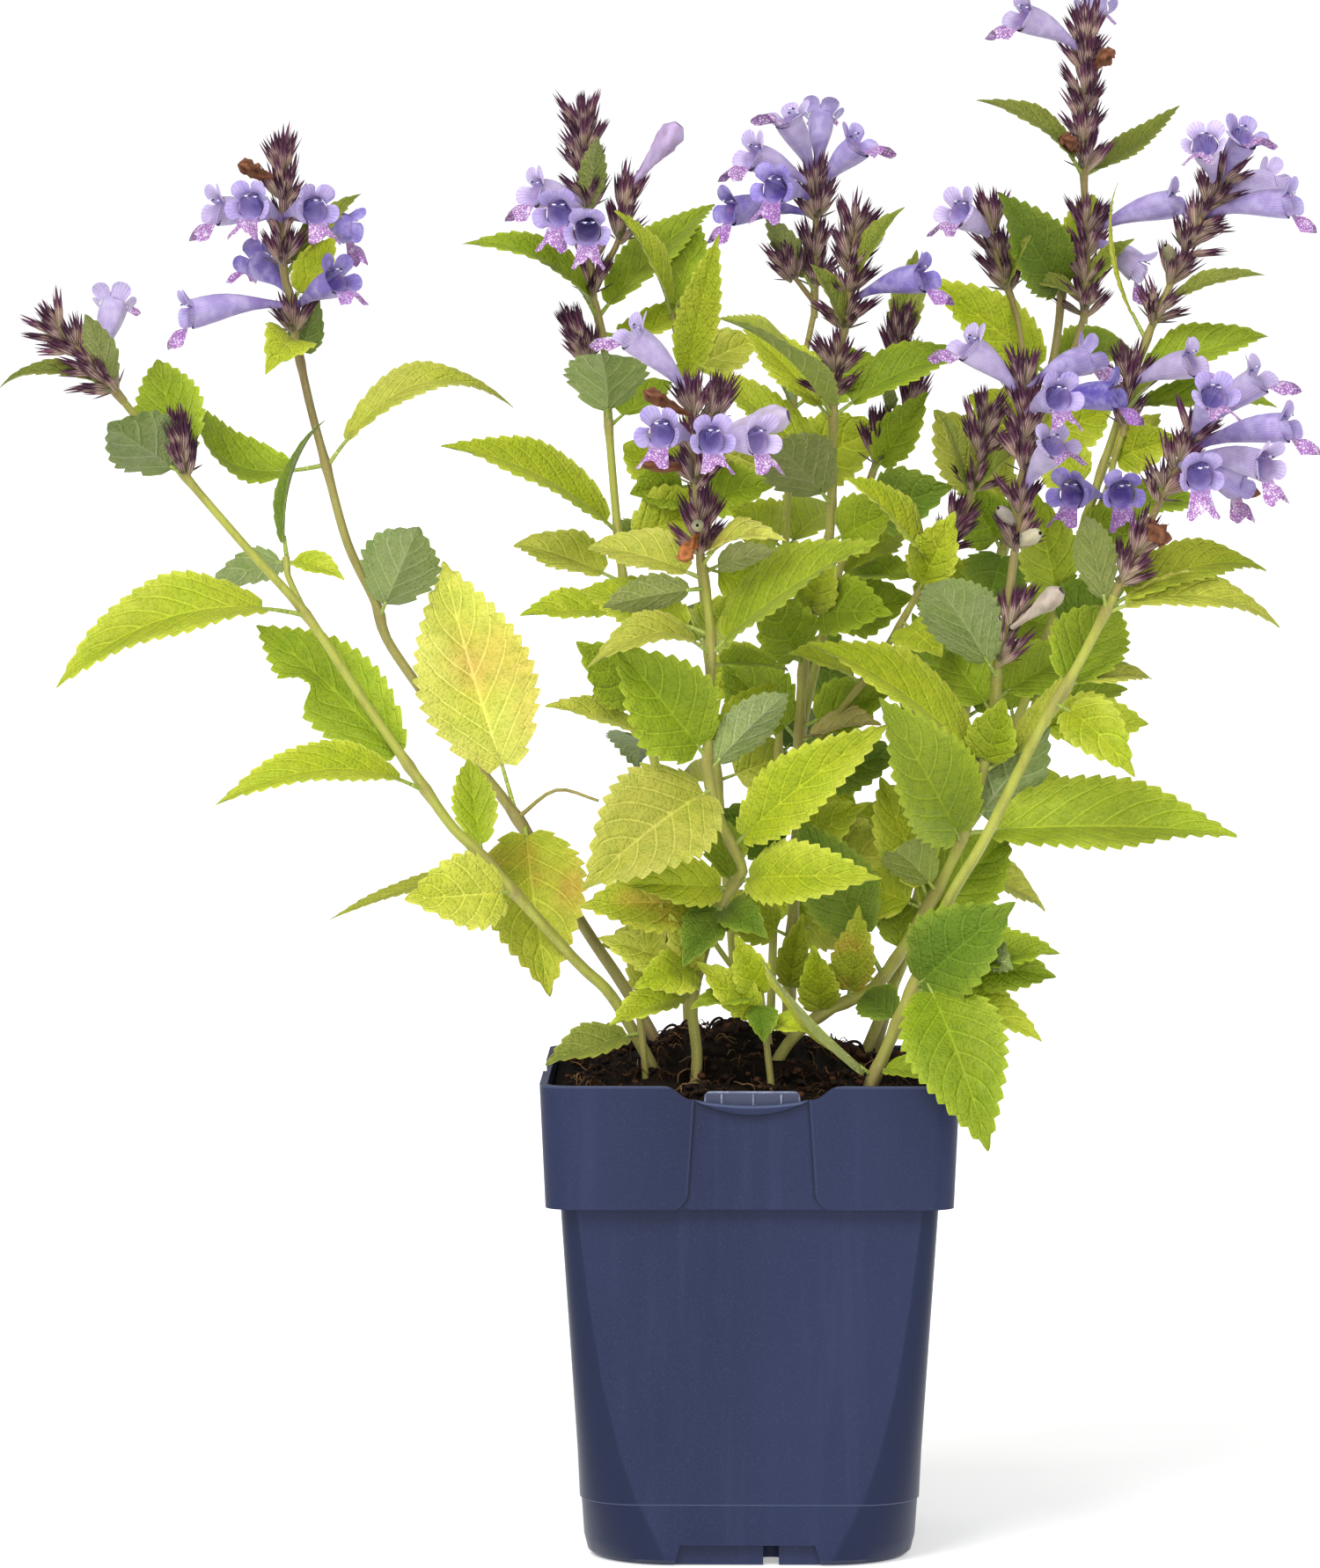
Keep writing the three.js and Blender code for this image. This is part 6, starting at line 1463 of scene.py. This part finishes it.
def combine(target, tool, operation='DIFFERENCE'):
    """Cuts or joins by a Boolean, applied at once, and removes the tool."""
    modifier = target.modifiers.new('cut', 'BOOLEAN')
    modifier.operation, modifier.object, modifier.solver = operation, tool, 'EXACT'
    apply_modifiers(target)
    bpy.data.objects.remove(tool)


def apply_modifiers(piece):
    bpy.context.view_layer.update()
    made = bpy.data.meshes.new_from_object(piece.evaluated_get(bpy.context.evaluated_depsgraph_get()))
    piece.modifiers.clear()
    piece.data = made


def round_edges(piece, width, segments, angle, harden=False):
    bevel = piece.modifiers.new('edges', 'BEVEL')
    bevel.width, bevel.segments, bevel.limit_method = width, segments, 'ANGLE'
    bevel.angle_limit, bevel.harden_normals = math.radians(angle), harden
    apply_modifiers(piece)


def dress_plastic(piece, material, width):
    """Turns a solid to metres, rounds its moulded edges and sets the material."""
    piece.data.transform(Matrix.Scale(0.001, 4))
    piece.data.materials.clear()
    piece.data.materials.append(material)
    for polygon in piece.data.polygons:
        polygon.use_smooth = True
    round_edges(piece, width / 1000, 2, 32, harden=True)
    mark_corners(piece.data)
    settle(piece, 'pot')


def mark_corners(mesh):
    """Paint's alpha is 1 on the rounded corners and 0 on the flat faces; the pot's material paints shade on
    the corners.
    """
    points = np.empty(len(mesh.vertices) * 3)
    mesh.vertices.foreach_get('co', points)
    x, y, z = points.reshape(-1, 3).T * 1000
    heights, _, flats = zip(*POT_OUTSIDE[::-1])
    paint = np.zeros((len(x), 4))
    paint[:, 3] = (np.minimum(np.abs(x), np.abs(y)) > np.interp(z, heights, flats) + 0.2) & (z < BAND_BOTTOM)
    put_paint(mesh, paint)


def build_pot():
    plastic = pot_material()
    rings = [rounded_square(half, flat, z) for z, half, flat in POT_INSIDE + POT_OUTSIDE]
    pot = loft_solid(rings, 'pot_shell')
    (foot_left, foot_right), (top_left, top_right) = FOOT_NOTCH['foot'], FOOT_NOTCH['top']
    high = FOOT_NOTCH['high']
    notch = [(foot_left, -1), (foot_right, -1), (top_right, high), (top_left, high)]
    slot = box_outline(DRAIN['left'], DRAIN['right'], -1, high - 0.5)
    for quarter in range(4):
        front = -RIM_HALF + PANEL_DEPTH
        combine(pot, plate_solid(panel_gap_outline(), -RIM_HALF - 1, front, 'gap', quarter, BAND_TAPER))
        combine(pot, plate_solid(notch, -RIM_HALF, -FOOT_NOTCH['inner'], 'notch', quarter))
        combine(pot, plate_solid(slot, -RIM_HALF, -DRAIN['reach'], 'slot', quarter))
        combine(pot, drain_solid(quarter))
    combine(pot, plate_solid(lip_opening_outline(), -RIM_HALF - 1, LIP['back'], 'lip'))
    bead = plate_solid(lip_edge_outline(), LIP['front'] - 0.3, LIP['back'] - 0.6, 'edge')
    round_edges(bead, LIP_BEVEL, 4, 50)
    combine(pot, bead, 'UNION')
    dress_plastic(pot, plastic, POT_BEVEL)
    # the ribs take the same navy under a painted highlight all over them
    plain, light = tab_material('label_slot_plastic', 0.0), tab_material('slot_rib_highlit_plastic', 0.6)
    front = SLOT_TAB['front']
    dress_plastic(plate_solid(tab_outline(), front, SLOT_TAB['back'], 'pot_label_slot'), plain, TAB_BEVEL)
    for number, x in enumerate(SLOT_RIBS):
        rib = box_outline(x - TAB_RIB['half'], x + TAB_RIB['half'], SLOT_TAB['low'],
                          SLOT_TAB['high'] - TAB_RIB['short'])
        rib = plate_solid(rib, front - TAB_RIB['proud'], front + 0.2, f'pot_slot_rib_{number + 1}')
        dress_plastic(rib, light, RIB_BEVEL)


# ---------- Soil ----------
# Heaps of loose peat: x, y, size of their crumbs
CLODS = ((-24, 14, 2.6), (-12, 20, 3), (-4, 16, 2.8), (24, 16, 3), (31, 13, 3.4), (38, 16, 3), (45, 12, 2.6),
         (-34, 8, 2.4), (12, 20, 2.6))
# Roots that bow out of the peat: x, y, radius, heading
ROOT_LOOPS = ((-17, 14, 3.4, 0.1), (-10, 18, 2.6, 0.5), (-24, 10, 3, 0.3), (-2, 12, 3, 0.9),
              (30, 12, 3.4, 0.2), (36, 4, 2.6, 1.2))
FIBRES, FIBRE_TONES = 1000, ('3e2614', '22150d', '5c3c22', '8a6844', '1a100a', '2c1c12', '4a2c16')
CRUMBS, CRUMB_TONES = 420, ('20110a', '2c180e', '150c07', '4a2c1a')
CRUMB_RINGS = ((-0.9, 0.3), (-0.3, 1), (0.4, 0.9), (0.9, 0.25))  # height and radius, as shares of its size
LUMPS = ((0.35, 0.55), (0.7, 0.42), (1.3, 0.3), (2.3, 0.2))  # waves to the millimetre, height
SOIL_LEVEL, MOUND_HEIGHT = 133, 16
SOIL_REACH = 53  # how far loose pieces lie from the pot's axis
SOIL_CORNER, SOIL_RINGS = 40, 62
SOIL_GAP, TAB_GAP = 0.4, 0.5  # from the pot's wall, and from the tab of the label slot


def soil_height(x, y):
    mound = MOUND_HEIGHT * np.exp(-(x + 6) ** 2 / 2600 - (y - 16) ** 2 / 2000)
    return SOIL_LEVEL + mound + 1.3 * np.sin(x * 0.33 + y * 0.19) * np.cos(y * 0.29 - x * 0.12)


def lumps(x, y):
    """Crumbs of several sizes, as a sum of waves in drawn directions."""
    draw = np.random.default_rng(5)
    out = np.zeros_like(x)
    for scale, size in LUMPS:
        for _ in range(6):
            angle, phase = draw.uniform(0, 6.3, 2)
            ahead = x * math.cos(angle) + y * math.sin(angle)
            aside = x * math.sin(angle) - y * math.cos(angle)
            out += size * np.sin(scale * ahead + phase) * np.sin(scale * 0.7 * aside + 2 * phase)
    return out


def build_soil():
    surface = Surface()
    rings = [rounded_square(half - SOIL_GAP, flat, z, SOIL_CORNER) for z, half, flat in POT_INSIDE[:-1]]
    rings[0][:, 2] += 0.3
    _, half, flat = POT_INSIDE[-1]
    for share in np.append(np.linspace(1, 0.03, SOIL_RINGS), 0.004):
        ring = rounded_square((half - 2 * SOIL_GAP) * share, flat * share, 0, SOIL_CORNER)
        x, y = ring[:, 0], ring[:, 1]
        calm = smooth_step(1 - share, -0.02, 0.06) if share < 1 else 0.25
        ring[:, 2] = soil_height(x, y) + lumps(x, y) * (0.3 + 0.7 * calm) - 0.5
        back = SLOT_TAB['back'] + TAB_GAP
        ring[(x > SLOT_TAB['left'] - 2) & (x < SLOT_TAB['right'] + 2) & (y < back), 1] = back
        rings.append(ring)
    surface.grid(np.array(rings), 1.0, closed=True)
    surface.grid(np.array([rings[0], rings[0] * (0.02, 0.02, 1)]), 1.0, closed=True, flip=True)
    surface.piece('soil_peat', soil_material(), 'soil', 'soil')


def build_fibres():
    """Fibres, twigs, root loops and crumbs on the peat."""
    draw, surface, colours = np.random.default_rng(11), Surface(), tones(FIBRE_TONES)
    steps = np.linspace(0, 1, 7)
    for _ in range(FIBRES):
        x, y = draw.uniform(1 - SOIL_REACH, SOIL_REACH - 1, 2)
        angle, bend, length = draw.uniform(0, 6.3), draw.uniform(-0.2, 0.2), draw.uniform(2, 11)
        lift = draw.uniform(0.1, 1.6)
        heading = angle + bend * steps * length
        x = x + np.cumsum(np.cos(heading)) * length / 7
        y = y + np.cumsum(np.sin(heading)) * length / 7
        if max(np.abs(x).max(), np.abs(y).max()) > SOIL_REACH:
            continue
        z = soil_height(x, y) + lumps(x, y) - 0.4 + lift * np.sin(np.pi * steps)
        wide = draw.uniform(0.07, 0.26) * np.interp(steps, (0, 0.5, 1), (0.5, 1, 0.35))
        tube(surface, np.stack([x, y, z], axis=1), wide, colours[draw.integers(7)], sides=4)
    turn = np.linspace(-0.5, math.pi + 0.5, 14)
    for x, y, radius, heading in ROOT_LOOPS:
        x = x + radius * np.cos(turn) * math.cos(heading)
        y = y + radius * np.cos(turn) * math.sin(heading)
        z = soil_height(x, y) + radius * np.maximum(np.sin(turn), -0.4)
        tube(surface, np.stack([x, y, z], axis=1), 0.45, colours[1], sides=6)
    add_crumbs(surface, draw)
    surface.piece('soil_fibres', fibre_material(), 'soil', 'soil')


def add_crumbs(surface, draw):
    """Loose crumbs of peat and bark."""
    colours, turn = tones(CRUMB_TONES), full_turn(6)
    spots = [(*draw.uniform(-SOIL_REACH, SOIL_REACH, 2), draw.uniform(0.5, 1.7)) for _ in range(CRUMBS)]
    for x, y, size in CLODS:
        shares = draw.uniform(-1, 1, (9, 3)) * (4, 4, 0.3) + (0, 0, 0.8)
        spots += [(x + dx, y + dy, size * part) for dx, dy, part in shares]
    for x, y, size in spots:
        z = float(soil_height(x, y) + lumps(np.array(x), np.array(y))) - 0.3
        rings = []
        for share, radius in CRUMB_RINGS:
            reach = size * radius * draw.uniform(0.7, 1.2, 6)
            rings.append(np.stack([x + reach * np.cos(turn), y + reach * np.sin(turn),
                                   np.full(6, z + size * share * 0.7)], axis=1))
        surface.grid(np.array(rings), colours[draw.integers(4)], closed=True)


# ---------- Plant ----------
# Florets with tones of their own, by where they end; every third of the others is pale
FLORET_KINDS = {
    'deep': ((102, 334),),
    'rich': ((48, 367), (-114, 381), (-117, 366), (-139, 371), (91, 306), (105, 306), (-5, 386), (7, 392)),
}
# Closed florets and capsules by where they end; the others are withered
BUDS = {(-20, 410): ('closed', 'b09ec2'), (11, 328): ('closed', 'b9adc4'), (88, 279): ('closed', 'b7aa9c'),
        (-15, 297): ('capsule', 'a3a486'), (70, 302): ('capsule', 'a39c92'), (82, 295): ('capsule', 'bdb79c'),
        (117, 376): ('capsule', '8e8a6c'), (-19, 287): ('withered', 'a5683c')}
STEM_TINTS = {'shoot_left_tall': 0.42, 'shoot_centre': 0.12, 'shoot_right_tall': 0.15}
SLOTS = {'stem': 'leaf', 'leaves': 'leaf', 'calyces': 'flower', 'florets': 'flower', 'stamens': 'flower'}


def floret_kind(floret, number):
    end = round(floret[1][0]), round(floret[1][2])
    own = [kind for kind, ends in FLORET_KINDS.items() if end in ends]
    return own[0] if own else 'fresh' if number % 3 else 'pale'


def build_plant():
    materials = dict(zip(SLOTS, (stem_material(), leaf_material(), calyx_material(), floret_material(),
                                 stem_material())))
    whorl_count = 0
    for number, (name, node) in enumerate(PLANT.items()):
        near, draw = Near(name), np.random.default_rng(100 + number)
        made = {part: Surface() for part in SLOTS}
        leaf_list = [(base, *leaf) for base, *group in node.get('leaves', ()) for leaf in group]
        joints = [at(leaf[0]) for leaf in leaf_list]
        for stalk in node['stalks']:
            add_stalk(made['stem'], stalk, joints, name.split('_')[0], STEM_TINTS.get(name, 0))
        for whorl in node.get('whorls', ()):
            whorl_count += 1
            add_whorl(made['calyces'], whorl, whorl_shrink(whorl, whorl_count, near) or 0.5, draw)
        for k, floret in enumerate(node.get('florets', ())):
            shift = floret_shift(floret, near) or (0, 0, 0)
            add_floret(made['florets'], made['stamens'], floret, shift, draw, floret_kind(floret, k))
        for bud in node.get('buds', ()):
            add_bud(made['calyces'], bud, draw, *BUDS.get((bud[1][0], bud[1][2]), ('withered', '6e4730')))
        stalk_points = np.vstack([smooth_path([at(p) for p in stalk[0]], 2) for stalk in node['stalks']])
        for k, leaf in enumerate(leaf_list):
            shift, base = leaf_shift(leaf, near), None
            if shift is None:
                base = stalk_points[np.argmin(np.linalg.norm(stalk_points - joints[k], axis=1))]
            tone = TONES[leaf[6] if len(leaf) > 6 else COMMON_TONES[(number + k) % len(COMMON_TONES)]]
            add_leaf(made['leaves'], leaf, shift or (0, 0, 0), draw, tone, base)
        for part, surface in made.items():
            if surface.count:
                surface.piece(f'{name}_{part}', materials[part], name, SLOTS[part])


# ---------- Studio ----------
WORLD_LIGHT, WORLD_SEEN = 0.4, 1.1  # what it gives to the pieces and to the camera
SUNS = (('key', 2.2, 45, -30), ('fill', 0.7, 50, 38), ('front', 0.75, 78, 0))  # strength, pitch, turn
SUN_SPREAD = 28
FLOOR_REACH, FLOOR_LEVEL = 40, -0.0003
# The camera of the photo, in metres
EYE, AIM = Vector((0, -2.060, 0.3502)), Vector((-0.0255, -0.060, 0.22595))
LENS, SENSOR_HEIGHT, CLIP_END = 162.2, 36, 100


def build_studio():
    scene = bpy.context.scene
    mesh = bpy.data.meshes.new('floor')
    corners = box_outline(-FLOOR_REACH, FLOOR_REACH, -FLOOR_REACH, FLOOR_REACH)
    mesh.from_pydata([(x, y, FLOOR_LEVEL) for x, y in corners], [], [(0, 1, 2, 3)])
    mesh.materials.append(floor_material())
    floor = new_object('floor', mesh)
    world = bpy.data.worlds.new('studio')
    world.use_nodes = True
    tree = world.node_tree
    seen = tree.nodes.new('ShaderNodeLightPath').outputs['Is Camera Ray']
    level = tree.nodes.new('ShaderNodeMapRange')
    tree.links.new(seen, level.inputs['Value'])
    level.inputs['To Min'].default_value, level.inputs['To Max'].default_value = WORLD_LIGHT, WORLD_SEEN
    tree.links.new(level.outputs[0], tree.nodes['Background'].inputs[1])
    tree.nodes['Background'].inputs[0].default_value = (1, 1, 1, 1)
    scene.world = world
    for name, energy, pitch, turn in SUNS:
        sun = bpy.data.lights.new(name, 'SUN')
        sun.energy, sun.angle = energy, math.radians(SUN_SPREAD)
        new_object(name, sun).rotation_euler = math.radians(pitch), 0, math.radians(turn)
    camera = bpy.data.cameras.new('camera')
    camera.lens, camera.sensor_fit, camera.sensor_height = LENS, 'VERTICAL', SENSOR_HEIGHT
    camera.clip_end = CLIP_END
    holder = new_object('camera', camera)
    holder.location, holder.rotation_euler = EYE, (AIM - EYE).to_track_quat('-Z', 'Y').to_euler()
    scene.camera = holder
    scene.view_settings.view_transform = 'Standard'


build_pot()
build_soil()
build_fibres()
build_plant()
build_studio()
